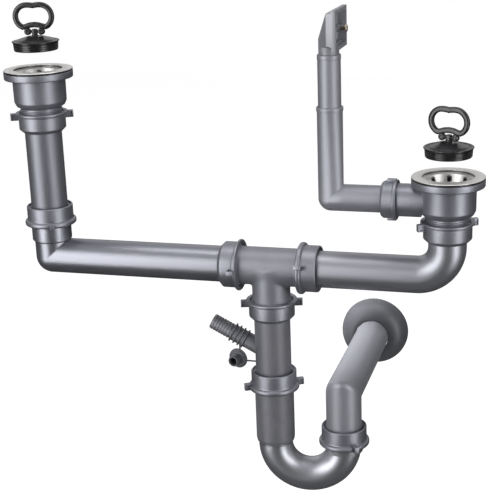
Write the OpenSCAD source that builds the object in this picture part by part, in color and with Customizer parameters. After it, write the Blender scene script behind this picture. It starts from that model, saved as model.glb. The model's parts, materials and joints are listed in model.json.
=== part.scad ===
// Waste kit with a P trap for a sink with two bowls, in push-fit plastic pipe with compression nuts.
// Frame: millimetres, +Z up, +X from the left bowl to the right bowl, +Y to the wall behind the sink.
// The origin is on the right waste's axis, where its steel lip and its gasket clamp the sink.

/* [Layout] */
// Distance between the axes of the two sink wastes
bowl_pitch = 450; // [380:1:600]
// How much higher the left waste sits than the right one
bowl_step = 106.5; // [95:0.5:200]
// Distance from the right waste's axis to the trap's axis
tee_offset = 192; // [175:1:230]
// Depth of the arms' axis below the right waste's seat
arm_drop = 107; // [105:1:160]
// Depth of the wall pipe's axis below the arms' axis
wall_pipe_drop = 147; // [140:1:180]
// Depth of the U bend's centre below the arms' axis
bend_drop = 210; // [205:1:240]
// Distance from the trap's outlet axis to the end of the wall pipe
wall_pipe_len = 226; // [180:1:400]
// Swivel of the trap about its inlet, as it is set
trap_turn = 7; // [0:1:20]

/* [Pipes] */
// Outer diameter of the waste pipe
pipe_d = 40; // [36:0.5:44]
// Outer diameter of the left tailpipe
tail_d = 41; // [36:0.5:44]
// Wall of the waste pipe
pipe_wall = 2; // [1.6:0.1:3]
// Wall of a push-fit socket
socket_wall = 1.7; // [1.5:0.1:2.5]
// Depth of a pipe inside a socket, past the seal
socket_depth = 16; // [12:1:24]
// Radius of the right arm's bend at the pipe's centre line
sweep_r = 32; // [26:1:45]
// Radius of the U bend at the pipe's centre line
bend_r = 39; // [32:0.5:50]

/* [Compression nuts] */
// Length of a nut
nut_len = 22; // [22:1:34]
// Wall of a nut over its thread
nut_wall = 2.1; // [1.8:0.1:3.5]
// Width of the collar at the threaded end, past the nut's side
nut_collar = 3; // [2:0.1:5]
// Thickness of that collar on an open nut
nut_collar_h = 5.5; // [3:0.5:7]
// Reach of a grip lug past the nut's side
lug_reach = 8.8; // [6:0.5:14]
// Height of a grip lug
lug_h = 8; // [6:0.5:14]
// Width of a grip lug
lug_w = 5; // [3:0.5:8]

/* [Wastes] */
// Diameter of the steel flange and of the body under it
flange_d = 76; // [70:0.5:90]
// Diameter of the waste body's cup
cup_d = 57.6; // [54:0.5:64]
// Diameter of the strainer's opening
opening_d = 52.6; // [48:0.2:54]
// Depth of the strainer bowl
strainer_depth = 14; // [12:0.5:18]
// Number of holes in each ring of holes
strainer_holes = 8; // [4:1:12]
// Height of the plug's rubber body
plug_h = 10.5; // [8:0.5:14]
// Height of the plug's foot over the steel lip, as it is set
plug_lift = 20; // [6:1:40]
// Way the left plug faces, about its axis
left_ring_turn = 10; // [-90:1:90]
// Way the right plug faces, about its axis
right_ring_turn = -20; // [-90:1:90]

/* [Overflow] */
// Distance from the right waste's axis to the overflow tube
overflow_offset = 123; // [100:1:180]
// Depth of the overflow port's axis below the seat
port_drop = 26; // [25:0.5:29]
// Outer diameter of the overflow elbow
elbow_d = 28.6; // [23:0.2:30]
// Wall of the elbow's riser around the telescopic tube
riser_wall = 1.1; // [0.9:0.1:2]
// Height of the elbow's collar above the port's axis
elbow_rise = 97; // [70:1:140]
// Height of the telescopic tube's collar above the elbow's collar, as it is set
slider_rise = 54; // [35:1:80]
// Width of the overflow head's frame
frame_w = 56; // [44:1:70]
// Height of that frame
frame_h = 41; // [36:1:56]

/* [Hose spigot and rosette] */
// Diameter of the hose spigot's stem
spigot_d = 17; // [14:0.5:22]
// Length of the spigot from the pipe's axis
spigot_len = 78; // [66:1:100]
// Rise of the spigot above level
spigot_rise = 27; // [15:1:40]
// Diameter of the wall rosette
rosette_d = 83; // [70:1:110]
// Depth of the rosette
rosette_depth = 25; // [15:1:35]

/* [Fits] */
// Gap around a part that turns or slides
run_gap = 0.3; // [0.2:0.05:0.5]
// Gap around a part that is pushed in and stays
seat_gap = 0.2; // [0.1:0.05:0.4]
// Gap around the plug in the strainer's opening
plug_gap = 0.5; // [0.3:0.1:1.5]
// Radial clearance of a pin in its hole
pin_gap = 0.05; // [0.02:0.01:0.1]

/* [Hidden] */
$fn = 96;

eps = 0.01;
plastic = [0.53, 0.54, 0.57];
steel = [0.80, 0.79, 0.77];
black = [0.10, 0.10, 0.11];
brass = [0.70, 0.62, 0.48];

// Pipe ends. Along each joint the nut's threaded end is at 0 and its mouth at nut_len.
pipe_r = pipe_d / 2;
tail_r = tail_d / 2;
pipe_bore_r = pipe_r - pipe_wall;
thread_h = 1.1;
thread_pitch = 4;
thread_len = 12;
seal_len = 5.4;
seal_wall = 2.9;
mouth_wall = 2.1;
mouth_chamfer = 3.8;
collar_round = 1;
tight_collar_h = 2.6;
lug_slot = 1.2;

function socket_bore(d) = d / 2 + seat_gap;
function socket_r(d) = socket_bore(d) + socket_wall;
function thread_r(d) = socket_r(d) + thread_h;
function nut_r(d) = thread_r(d) + run_gap + nut_wall;

// Waste bodies, with heights below the seat
lip_h = 1.5;
gasket_h = 1.6;
flange_h = 7.5;
flange_bottom = gasket_h + flange_h;
cup_bottom = 34.5;
cup_round = 7;
cup_wall = 2;
cup_r = cup_d / 2;
neck_top = cup_bottom + cup_round;
waste_nut_drop = 46.5;
hub_r = 4.5;
hub_arm_w = 3;
hub_h = 8;
steel_t = 0.8;
opening_r = opening_d / 2;
strainer_foot_r = opening_r - 4.5;
wall_hole_d = 4.4;
floor_hole_d = 3.6;
floor_ring_r = 13;
screw_r = 3;
screw_head_r = 5.5;
screw_head_h = 2.4;

// Plug, with heights above its foot
plug_r = opening_r - plug_gap;
plug_foot_r = plug_r - 1.8;
plug_dome = 5;
plug_lip = 1.6;
plug_wall = 2.5;
post_w = 5.4;
post_t = 6;
post_base_r = 3.4;
post_base_h = 1.2;
ring_wire_r = 2.5;
ring_flat = 7.6;
ring_bend_r = 13;
ring_end = 64;
ring_bar = 14.5;
ring_pin_r = 1.5;
knob_r = 3.8;
knob_x = 7.6;
pin_tip = 0.9;
pin_z = plug_h + plug_dome + 4.6;
ring_bar_z = pin_z + 6.7;
ring_z = ring_bar_z + 9.4;

// Arms, tee and trap, with heights relative to the arms' axis
elbow_step = pipe_r - 1;
elbow_socket_top = elbow_step + 19;
tee_run_r = pipe_r + 1;
tee_half = tee_run_r + 12;
branch_drop = tee_run_r + 16.5;
trap_nut_drop = 143.5;
sleeve_bottom = bend_drop - 3.5;
sleeve_chamfer = 6;
bend_overlap = 9;
bend_tube_r = pipe_r - 0.6;
outlet_nut_drop = bend_drop - 1.2;
outlet_ring_h = 9.5;
outlet_ring_r = bend_tube_r + 1.2;
inlet_reach = 34;

// Overflow
elbow_r = elbow_d / 2;
elbow_wall = 1.6;
riser_r = elbow_r - 0.8;
slider_r = riser_r - riser_wall - run_gap;
slider_wall = 1.1;
port_len = 59;
port_r = elbow_r + seat_gap + 2.8;
port_thread = 6.5;
port_nut_len = 16.5;
port_nut_start = 7;
port_nut_tab = 2.6;
port_nut_tab_len = 10;
elbow_collar = 0.6;
elbow_collar_h = 4.5;
slider_collar_h = 5;
slider_in = 55;
neck_in = 16;
neck_out = 9;
frame_t = 4.5;
frame_bar = 4;
head_low = 6;
head_box = 6;
head_wall = 1.6;
head_screw_r = 2;
head_screw_head_r = 4.1;
head_screw_len = 11;

// Spigot, its cap, the wall pipe and the rosette
spigot_drop = 103.5;
spigot_bore_r = 6;
barb_count = 7;
barb_pitch = 3.3;
barb_h = 0.6;
fin_count = 4;
fin_pitch = 5.2;
fin_r = 11.2;
fin_t = 1.4;
fin_start = pipe_r + 15;
cap_x = -pipe_r - 20.6;
cap_drop = spigot_drop + 7.3;
cap_turn = -14;
cap_disc_r = 11.4;
cap_disc_t = 2;
cap_hub_r = 6;
cap_hub_len = 13;
cap_wall = 1.5;
runner_w = 1.6;
runner_x = cap_x + 1;
runner_rise = 18;
runner_drop = 3.5;
rosette_rim = 2;
rosette_wall = 1.6;
rosette_back = 28;
mark_back = 26;
mark_w = 1;
mark_depth = 0.3;

// ---- shapes that repeat ----

module pipe(r_out, r_in, len) {
    difference() {
        cylinder(r = r_out, h = len);
        translate([0, 0, -1]) cylinder(r = r_in, h = len + 2);
    }
}

// Raised rings that stand for a moulded thread, from 0 upwards
module thread(r, len) {
    count = floor(len / thread_pitch);
    for (i = [0 : count - 1]) {
        translate([0, 0, (i + 0.5) * thread_pitch])
            rotate_extrude()
                polygon([[r - 0.4, -1.3], [r, -1.3], [r + thread_h, -0.5], [r + thread_h, 0.5],
                    [r, 1.3], [r - 0.4, 1.3]]);
    }
}

// Compression nut: threaded end at 0, mouth at nut_len. A tight nut closes on the pipe,
// an open one leaves a deep gap around it.
module nut(d, open, turn) {
    r_out = nut_r(d);
    r_thread = thread_r(d) + run_gap;
    r_mouth = open ? r_out - mouth_wall : d / 2 + run_gap;
    shelf = thread_len + seal_len + 1.4;
    collar_h = open ? nut_collar_h : tight_collar_h;
    tip_r = open ? r_out - 0.7 : d / 2 + 1.4;
    tip_h = open ? 0.8 : mouth_chamfer;
    color(plastic) rotate([0, 0, turn]) difference() {
        union() {
            rotate_extrude()
                polygon([[0, 0], [r_out + nut_collar - collar_round, 0],
                    [r_out + nut_collar, collar_round], [r_out + nut_collar, collar_h - collar_round],
                    [r_out + 0.6, collar_h + 0.6], [r_out, collar_h + 1.6], [r_out, nut_len - tip_h],
                    [tip_r, nut_len], [0, nut_len]]);
            for (side = [0, 180]) rotate([0, 0, side]) grip_lug(r_out);
        }
        rotate_extrude()
            polygon([[0, -1], [r_thread + 0.6, -1], [r_thread, 1], [r_thread, shelf - 3.4],
                [d / 2 + run_gap, shelf], [r_mouth, open ? shelf + 1 : shelf + 0.5],
                [r_mouth, nut_len + 1], [0, nut_len + 1]]);
    }
}

// Box-shaped lug with a pocket in each side
module grip_lug(r_side) {
    difference() {
        translate([r_side - 1, -lug_w / 2, 0.4]) cube([lug_reach + 1, lug_w, lug_h]);
        for (side = [-1, 1])
            translate([r_side + nut_collar + 1, side * lug_w / 2 - lug_slot, 2.4])
                cube([lug_reach - nut_collar - 2.6, lug_slot * 2, lug_h - 4]);
    }
}

// Wedge seal that sits on the socket's end, inside the nut
module seal(d) {
    r_in = d / 2 + 0.05;
    color(black) translate([0, 0, thread_len + 0.05])
        rotate_extrude()
            polygon([[r_in, 0], [r_in + seal_wall, 0], [r_in + seal_wall, seal_len - 3.2],
                [r_in + 0.9, seal_len], [r_in, seal_len]]);
}

// Socket end with its thread, from 0 to thread_len
module threaded_end(d) {
    cylinder(r = socket_r(d), h = thread_len);
    thread(socket_r(d), thread_len);
}

module at_left() { translate([-bowl_pitch, 0, bowl_step]) children(); }
module at_tee() { translate([-tee_offset, 0, -arm_drop]) children(); }
module at_outlet() {
    at_tee() rotate([0, 0, trap_turn]) translate([2 * bend_r, 0, 0]) rotate([0, 0, -trap_turn]) children();
}
module at_overflow() { translate([-overflow_offset, 0, -port_drop]) children(); }
module at_left_joint() { at_left() translate([0, 0, -waste_nut_drop]) rotate([180, 0, 0]) children(); }
module at_right_joint() { translate([0, 0, -waste_nut_drop]) rotate([180, 0, 0]) children(); }
module at_left_lower_joint() {
    translate([-bowl_pitch, 0, -arm_drop + elbow_socket_top]) children();
}
module at_tee_joint(side) { at_tee() rotate([0, side * 90, 0]) translate([0, 0, tee_half]) children(); }
module at_branch_joint() { at_tee() rotate([180, 0, 0]) translate([0, 0, branch_drop]) children(); }
module at_trap_joint() { at_tee() translate([0, 0, -trap_nut_drop]) children(); }
module at_outlet_joint() { at_outlet() translate([0, 0, -outlet_nut_drop]) children(); }

// ---- sink wastes, in the frame of their seat ----

module strainer_shape() {
    foot = -strainer_depth;
    color(steel) difference() {
        rotate_extrude()
            polygon([[0, foot], [strainer_foot_r, foot], [opening_r - 1.2, -1.5],
                [opening_r + 1.4, 0], [flange_d / 2 - 0.3, 0], [flange_d / 2, 0.5],
                [flange_d / 2 - 0.6, lip_h - 0.3], [opening_r + 1.6, lip_h],
                [opening_r, lip_h - 0.9], [opening_r - 1.2 - steel_t, -1.2],
                [strainer_foot_r - steel_t * 0.6, foot + steel_t], [0, foot + steel_t]]);
        for (i = [0 : strainer_holes - 1]) rotate([0, 0, (i + 0.5) * 360 / strainer_holes + 22.5])
            translate([strainer_foot_r - 1, 0, -strainer_depth / 2 - 1]) rotate([0, 90, 0])
                cylinder(d = wall_hole_d, h = 8, $fn = 24);
        for (i = [0 : strainer_holes - 1]) rotate([0, 0, i * 360 / strainer_holes])
            translate([floor_ring_r, 0, foot - 1]) cylinder(d = floor_hole_d, h = 3, $fn = 24);
        translate([0, 0, foot - 1]) cylinder(r = screw_r + run_gap, h = 3);
    }
}

module strainer_screw_shape() {
    top = -strainer_depth + steel_t + 0.05;
    shank = neck_top - strainer_depth + hub_h / 2;
    color(steel) difference() {
        union() {
            translate([0, 0, top]) cylinder(r1 = screw_head_r, r2 = screw_head_r - 1, h = screw_head_h);
            translate([0, 0, top - shank]) cylinder(r = screw_r, h = shank + eps);
        }
        translate([-screw_head_r, -0.6, top + screw_head_h - 1]) cube([2 * screw_head_r, 1.2, 2]);
    }
}

module flange_gasket_shape() {
    color(black) rotate_extrude()
        polygon([[opening_r + 1.8, -gasket_h + 0.05], [flange_d / 2 - 0.4, -gasket_h + 0.05],
            [flange_d / 2 - 0.1, -gasket_h / 2], [flange_d / 2 - 0.4, -0.05], [opening_r + 1.8, -0.05]]);
}

// Body of a waste: flange, cup, neck and the hub for the strainer's screw
module waste_body_shape(d) {
    neck_r = socket_r(d);
    bore = socket_bore(d);
    throat_r = bore - 1.5;
    stop_z = -waste_nut_drop - thread_len + socket_depth + 1;
    color(plastic) difference() {
        union() {
            rotate_extrude()
                polygon([[0, -gasket_h], [flange_d / 2 - 0.5, -gasket_h], [flange_d / 2, -gasket_h - 0.5],
                    [flange_d / 2 - 0.2, -flange_bottom + 0.8], [flange_d / 2 - 1.2, -flange_bottom],
                    [cup_r + 0.3, -flange_bottom], [cup_r, -cup_bottom], [cup_r - 0.6, -cup_bottom - 2.2],
                    [cup_r - 2.6, -cup_bottom - 4.8], [neck_r + 0.2, -neck_top + 0.6],
                    [neck_r, -neck_top], [neck_r, -neck_top - 1.4], [neck_r + thread_h, -neck_top - 2],
                    [neck_r + thread_h, -neck_top - 3], [neck_r, -neck_top - 3.6],
                    [neck_r, -waste_nut_drop], [0, -waste_nut_drop]]);
            translate([0, 0, -waste_nut_drop]) rotate([180, 0, 0]) threaded_end(d);
        }
        rotate_extrude()
            polygon([[0, -gasket_h + 1], [opening_r + 3, -gasket_h + 1], [opening_r + 3, -gasket_h - 2],
                [cup_r - cup_wall, -flange_bottom], [cup_r - cup_wall, -cup_bottom - 1],
                [throat_r, -neck_top + 1], [throat_r, stop_z], [bore, stop_z],
                [bore, -waste_nut_drop - thread_len - 1], [0, -waste_nut_drop - thread_len - 1]]);
    }
    color(plastic) difference() {
        union() {
            translate([0, 0, -neck_top - 0.9]) cylinder(r = hub_r + 1, h = hub_h);
            for (turn = [45, 135]) rotate([0, 0, turn])
                translate([-throat_r - 0.8, -hub_arm_w / 2, -neck_top])
                    cube([2 * throat_r + 1.6, hub_arm_w, hub_h / 2]);
        }
        translate([0, 0, -neck_top - 2]) cylinder(r = screw_r + run_gap, h = hub_h + 2);
    }
}

// ---- plug, in the frame of its foot ----

module plug_shape() {
    color(black) rotate_extrude()
        polygon([[0, plug_h - 3], [plug_foot_r - plug_wall - 1, plug_h - 4],
            [plug_foot_r - plug_wall, 0], [plug_foot_r - 0.6, 0], [plug_foot_r, 0.8],
            [plug_r - 0.9, plug_h - plug_lip], [plug_r, plug_h - 0.5], [plug_r - 0.5, plug_h],
            [plug_r - 3, plug_h - 0.2], [plug_r - 6, plug_h + 1.4], [plug_r - 11, plug_h + 3.4],
            [post_base_r + 6, plug_h + plug_dome - 0.5], [post_base_r + 1, plug_h + plug_dome],
            [0, plug_h + plug_dome]]);
}

module plug_post_shape() {
    base = plug_h + plug_dome + 0.05;
    color(black) difference() {
        union() {
            translate([0, 0, base]) cylinder(r1 = post_base_r, r2 = post_base_r - 0.4, h = post_base_h);
            translate([-post_w / 2, -post_t / 2, base]) cube([post_w, post_t, pin_z - base]);
            translate([-post_w / 2, 0, pin_z]) rotate([0, 90, 0]) cylinder(d = post_t, h = post_w);
        }
        translate([-post_w, 0, pin_z]) rotate([0, 90, 0]) cylinder(r = ring_pin_r + pin_gap, h = 2 * post_w);
    }
}

// Part of a round wire bent about the origin, from one angle to another, in the XZ plane
module wire_arc(r, from, to) {
    rotate([90, 0, 0]) rotate([0, 0, from]) rotate_extrude(angle = to - from)
        translate([r, 0]) circle(r = ring_wire_r, $fn = 32);
}

// Oval ring closed by a bar over the post, with two knobs whose pins turn in the post
module plug_ring_shape() {
    color(black) union() {
        translate([0, 0, ring_z]) {
            translate([-ring_flat, 0, ring_bend_r]) rotate([0, 90, 0])
                cylinder(r = ring_wire_r, h = 2 * ring_flat, $fn = 32);
            translate([ring_flat, 0, 0]) wire_arc(ring_bend_r, -ring_end, 90);
            translate([-ring_flat, 0, 0]) wire_arc(ring_bend_r, 90, 180 + ring_end);
        }
        translate([-ring_bar, 0, ring_bar_z]) rotate([0, 90, 0])
            cylinder(r = ring_wire_r, h = 2 * ring_bar, $fn = 32);
        for (side = [-1, 1]) {
            translate([side * knob_x, 0, pin_z]) sphere(r = knob_r, $fn = 32);
            translate([side * knob_x - 2, -1.8, pin_z]) cube([4, 3.6, ring_bar_z - pin_z]);
            translate([side > 0 ? pin_tip : -knob_x, 0, pin_z]) rotate([0, 90, 0])
                cylinder(r = ring_pin_r, h = knob_x - pin_tip);
        }
    }
}

module at_left_plug() {
    at_left() translate([0, 0, lip_h + plug_lift]) rotate([0, 0, left_ring_turn]) children();
}
module at_right_plug() { translate([0, 0, lip_h + plug_lift]) rotate([0, 0, right_ring_turn]) children(); }
module left_plug() { at_left_plug() plug_shape(); }
module left_plug_post() { at_left_plug() plug_post_shape(); }
module left_plug_ring() { at_left_plug() plug_ring_shape(); }
module right_plug() { at_right_plug() plug_shape(); }
module right_plug_post() { at_right_plug() plug_post_shape(); }
module right_plug_ring() { at_right_plug() plug_ring_shape(); }

module left_strainer() { at_left() strainer_shape(); }
module left_strainer_screw() { at_left() strainer_screw_shape(); }
module left_flange_gasket() { at_left() flange_gasket_shape(); }
module left_waste_body() { at_left() waste_body_shape(tail_d); }
module right_strainer() { strainer_shape(); }
module right_strainer_screw() { strainer_screw_shape(); }
module right_flange_gasket() { flange_gasket_shape(); }

module right_waste_body() {
    bore = elbow_r + seat_gap;
    color(plastic) difference() {
        union() {
            waste_body_shape(pipe_d);
            difference() {
                translate([-port_len, 0, -port_drop]) rotate([0, 90, 0]) {
                    cylinder(r = port_r - thread_h, h = port_thread);
                    thread(port_r - thread_h, port_thread);
                    translate([0, 0, port_thread - eps]) cylinder(r = port_r, h = port_len - port_thread);
                }
                translate([0, 0, -port_drop - 30]) cylinder(r = cup_r - cup_wall, h = 60);
            }
        }
        translate([-port_len - 1, 0, -port_drop]) rotate([0, 90, 0])
            cylinder(r = bore, h = port_len - cup_r);
        translate([-port_len, 0, -port_drop]) rotate([0, 90, 0]) cylinder(r = bore - 3, h = port_len - 10);
    }
}

// ---- left run, tee and right run ----

module left_upper_nut() { at_left_joint() nut(tail_d, false, -26); }
module left_upper_seal() { at_left_joint() seal(tail_d); }
module right_waste_nut() { at_right_joint() nut(pipe_d, false, -32); }
module right_waste_seal() { at_right_joint() seal(pipe_d); }
module left_lower_nut() { at_left_lower_joint() nut(tail_d, true, -63); }
module left_lower_seal() { at_left_lower_joint() seal(tail_d); }
module tee_left_nut() { at_tee_joint(-1) nut(pipe_d, false, 90); }
module tee_left_seal() { at_tee_joint(-1) seal(pipe_d); }
module tee_right_nut() { at_tee_joint(1) nut(pipe_d, true, 72); }
module tee_right_seal() { at_tee_joint(1) seal(pipe_d); }
module tee_lower_nut() { at_branch_joint() nut(pipe_d, false, -16); }
module tee_lower_seal() { at_branch_joint() seal(pipe_d); }

module left_tailpipe() {
    foot = -arm_drop + elbow_socket_top + thread_len - socket_depth;
    head = bowl_step - waste_nut_drop - thread_len + socket_depth;
    color(plastic) translate([-bowl_pitch, 0, foot]) pipe(tail_r, tail_r - pipe_wall, head - foot);
}

// Arm with a mitred elbow: sharp inside, rounded outside, and a socket on top
module left_arm() {
    run = bowl_pitch - tee_offset - tee_half - thread_len + socket_depth;
    r_socket = socket_r(tail_d);
    color(plastic) translate([-bowl_pitch, 0, -arm_drop]) difference() {
        union() {
            sphere(r = pipe_r);
            rotate([0, 90, 0]) cylinder(r = pipe_r, h = run);
            cylinder(r = pipe_r, h = elbow_step + 1);
            translate([0, 0, elbow_step]) cylinder(r1 = r_socket - 1.2, r2 = r_socket, h = 1.2);
            translate([0, 0, elbow_step + 1.2])
                cylinder(r = r_socket, h = elbow_socket_top - elbow_step - 1.2);
            translate([0, 0, elbow_socket_top]) threaded_end(tail_d);
        }
        sphere(r = pipe_bore_r);
        rotate([0, 90, 0]) cylinder(r = pipe_bore_r, h = run + 1);
        cylinder(r = pipe_bore_r, h = elbow_socket_top);
        translate([0, 0, elbow_socket_top + thread_len - socket_depth - 1])
            cylinder(r = socket_bore(tail_d), h = socket_depth + 2);
    }
}

module tee() {
    reach = tee_half + thread_len;
    depth = branch_drop + thread_len;
    color(plastic) at_tee() difference() {
        union() {
            translate([-tee_half, 0, 0]) rotate([0, 90, 0]) cylinder(r = tee_run_r, h = 2 * tee_half);
            for (side = [-1, 1]) rotate([0, side * 90, 0]) translate([0, 0, tee_half]) threaded_end(pipe_d);
            translate([0, 0, -branch_drop]) cylinder(r = tee_run_r, h = branch_drop);
            rotate([180, 0, 0]) translate([0, 0, branch_drop]) threaded_end(pipe_d);
        }
        translate([-reach - 1, 0, 0]) rotate([0, 90, 0]) cylinder(r = pipe_bore_r, h = 2 * reach + 2);
        translate([0, 0, -depth - 1]) cylinder(r = pipe_bore_r, h = depth + 1);
        for (side = [-1, 1]) rotate([0, side * 90, 0]) translate([0, 0, reach - socket_depth - 1])
            cylinder(r = socket_bore(pipe_d), h = socket_depth + 2);
        translate([0, 0, -depth - 1]) cylinder(r = socket_bore(pipe_d), h = socket_depth + 2);
    }
}

module right_arm() {
    start = -tee_offset + tee_half + thread_len - socket_depth;
    rise = arm_drop - waste_nut_drop - thread_len + socket_depth;
    color(plastic) translate([0, 0, -arm_drop]) {
        translate([start, 0, 0]) rotate([0, 90, 0]) pipe(pipe_r, pipe_bore_r, -sweep_r - start);
        translate([-sweep_r, 0, sweep_r]) rotate([90, 0, 0]) rotate([0, 0, -90]) rotate_extrude(angle = 90)
            translate([sweep_r, 0]) difference() {
                circle(r = pipe_r);
                circle(r = pipe_bore_r);
            }
        translate([0, 0, sweep_r]) pipe(pipe_r, pipe_bore_r, rise - sweep_r);
    }
}

// ---- overflow ----

module overflow_nut() {
    r_thread = port_r + run_gap;
    r_out = r_thread + nut_wall;
    color(plastic) translate([port_nut_start - port_len, 0, -port_drop]) rotate([0, -90, 0]) difference() {
        union() {
            rotate_extrude()
                polygon([[0, 0], [r_out + 1, 0], [r_out + 1.5, 0.6], [r_out + 1.5, 3.4], [r_out, 4.2],
                    [r_out, port_nut_len - 2.6], [r_out - 2, port_nut_len], [0, port_nut_len]]);
            for (side = [0, 180]) rotate([0, 0, side]) translate([r_out - 1, -3, 1])
                cube([port_nut_tab + 1, 6, port_nut_tab_len]);
            for (i = [0 : 5]) rotate([0, 0, 60 + i * 12]) translate([r_out - 0.5, -0.5, 3.8])
                cube([1, 1, port_nut_len - 7]);
        }
        rotate_extrude()
            polygon([[0, -1], [r_thread, -1], [r_thread, port_nut_start + 1.6],
                [elbow_r + run_gap, port_nut_start + 5.4], [elbow_r + run_gap, port_nut_len + 1],
                [0, port_nut_len + 1]]);
    }
}

module overflow_seal() {
    r_in = elbow_r + 0.05;
    color(black) translate([-port_len - 0.05, 0, -port_drop]) rotate([0, -90, 0])
        rotate_extrude()
            polygon([[r_in, 0], [r_in + 2.4, 0], [r_in + 2.4, 1], [r_in + 0.8, 3.6], [r_in, 3.6]]);
}

// Elbow pipe of the overflow: mitred like the arm, with a collar at its top
module overflow_elbow() {
    reach = overflow_offset - port_len + port_thread + 6;
    bore = slider_r + run_gap;
    color(plastic) at_overflow() difference() {
        union() {
            sphere(r = elbow_r);
            rotate([0, 90, 0]) cylinder(r = elbow_r, h = reach);
            cylinder(r = riser_r, h = elbow_rise);
            translate([0, 0, elbow_rise - elbow_collar_h])
                cylinder(r = riser_r + elbow_collar, h = elbow_collar_h);
        }
        sphere(r = bore);
        rotate([0, 90, 0]) cylinder(r = elbow_r - elbow_wall, h = reach + 1);
        cylinder(r = bore, h = elbow_rise + 1);
        translate([0, 0, elbow_rise - 3.2]) cylinder(r = bore + 1, h = 1.8);
    }
}

module overflow_tube_seal() {
    bore = slider_r + run_gap;
    color(black) at_overflow() translate([0, 0, elbow_rise - 3.15]) difference() {
        cylinder(r = bore + 0.95, h = 1.7);
        translate([0, 0, -1]) cylinder(r = slider_r + pin_gap, h = 4);
    }
}

module overflow_tube() {
    top = elbow_rise + slider_rise;
    color(plastic) at_overflow() difference() {
        union() {
            translate([0, 0, elbow_rise - slider_in]) cylinder(r = slider_r, h = slider_rise + slider_in);
            translate([0, 0, top - slider_collar_h]) cylinder(r = slider_r + 0.3, h = slider_collar_h);
        }
        translate([0, 0, elbow_rise - slider_in - 1])
            cylinder(r = slider_r - slider_wall, h = slider_rise + slider_in + 2);
    }
}

// Head: round neck, a hood that opens to the front, and the rectangular frame that meets the bowl
module overflow_head() {
    neck_r = slider_r - slider_wall - run_gap;
    top = elbow_rise + slider_rise;
    low = top + head_low;
    half = frame_w / 2;
    inner = half - frame_bar;
    face = neck_r - 2;
    mid = low + frame_h / 2;
    mouth_h = frame_h - 2 * frame_bar;
    color(plastic) at_overflow() difference() {
        union() {
            translate([0, 0, top - neck_in]) cylinder(r = neck_r, h = neck_in + neck_out);
            hull() {
                translate([0, 0, top + neck_out - 1]) cylinder(r = neck_r, h = 8, $fn = 48);
                translate([face - head_box, -half + 3, low + 5]) cube([1, 2 * half - 6, frame_h - 8]);
                translate([face - 1, -half + 3, low + 5]) cube([1, 2 * half - 6, frame_h - 8]);
            }
            translate([face, -half, low]) cube([frame_t, frame_w, frame_h]);
        }
        hull() {
            translate([0, 0, top + neck_out]) cylinder(r = neck_r - head_wall, h = 6, $fn = 48);
            translate([face - head_box + head_wall, -inner, low + frame_bar + 3])
                cube([0.5, 2 * inner, mouth_h - 4]);
            translate([face - 1, -inner, low + frame_bar + 3]) cube([1.5, 2 * inner, mouth_h - 4]);
        }
        translate([face - 2, -inner, low + frame_bar]) cube([frame_t + 4, 2 * inner, mouth_h]);
        translate([0, 0, top - neck_in - 1]) cylinder(r = neck_r - head_wall, h = neck_in + neck_out + 3);
    }
    color(plastic) at_overflow() difference() {
        union() {
            translate([face - 3, 0, mid]) rotate([0, 90, 0]) cylinder(r = 3.6, h = 6);
            translate([face - 1, -inner - eps, mid - 1]) cube([2.5, 2 * inner + 2 * eps, 2]);
        }
        translate([face - 4, 0, mid]) rotate([0, 90, 0]) cylinder(r = head_screw_r + pin_gap, h = 10);
    }
}

module overflow_screw() {
    neck_r = slider_r - slider_wall - run_gap;
    mid = elbow_rise + slider_rise + head_low + frame_h / 2;
    start = neck_r - 4;
    color(brass) at_overflow() translate([start, 0, mid]) rotate([0, 90, 0]) difference() {
        union() {
            cylinder(r = head_screw_r, h = head_screw_len + eps);
            translate([0, 0, head_screw_len])
                cylinder(r1 = head_screw_head_r, r2 = head_screw_head_r - 0.8, h = 1.8);
        }
        translate([-5, -0.5, head_screw_len + 1]) cube([10, 1, 2]);
    }
}

// ---- trap ----

module at_spigot() { at_tee() translate([0, 0, -spigot_drop]) rotate([0, spigot_rise - 90, 0]) children(); }

// Inlet tube with the hose spigot on its side
module inlet_tube() {
    head = -branch_drop - thread_len + socket_depth;
    foot = -trap_nut_drop + thread_len - inlet_reach;
    stem_r = spigot_d / 2;
    color(plastic) difference() {
        union() {
            at_tee() translate([0, 0, foot]) cylinder(r = pipe_r, h = head - foot);
            at_spigot() {
                cylinder(r = stem_r, h = spigot_len);
                cylinder(r = stem_r + 0.7, h = fin_start + fin_pitch * (fin_count - 1));
                for (i = [0 : fin_count - 1]) translate([0, 0, fin_start + i * fin_pitch])
                    cylinder(r = fin_r, h = fin_t);
                for (i = [0 : barb_count - 1])
                    translate([0, 0, spigot_len - (i + 1) * barb_pitch])
                        cylinder(r1 = stem_r + barb_h, r2 = stem_r - 0.2, h = barb_pitch - 0.5);
            }
        }
        at_tee() translate([0, 0, foot - 1]) cylinder(r = pipe_bore_r, h = head - foot + 2);
        at_spigot() translate([0, 0, pipe_bore_r / 2]) cylinder(r = spigot_bore_r, h = spigot_len);
    }
}

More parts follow.
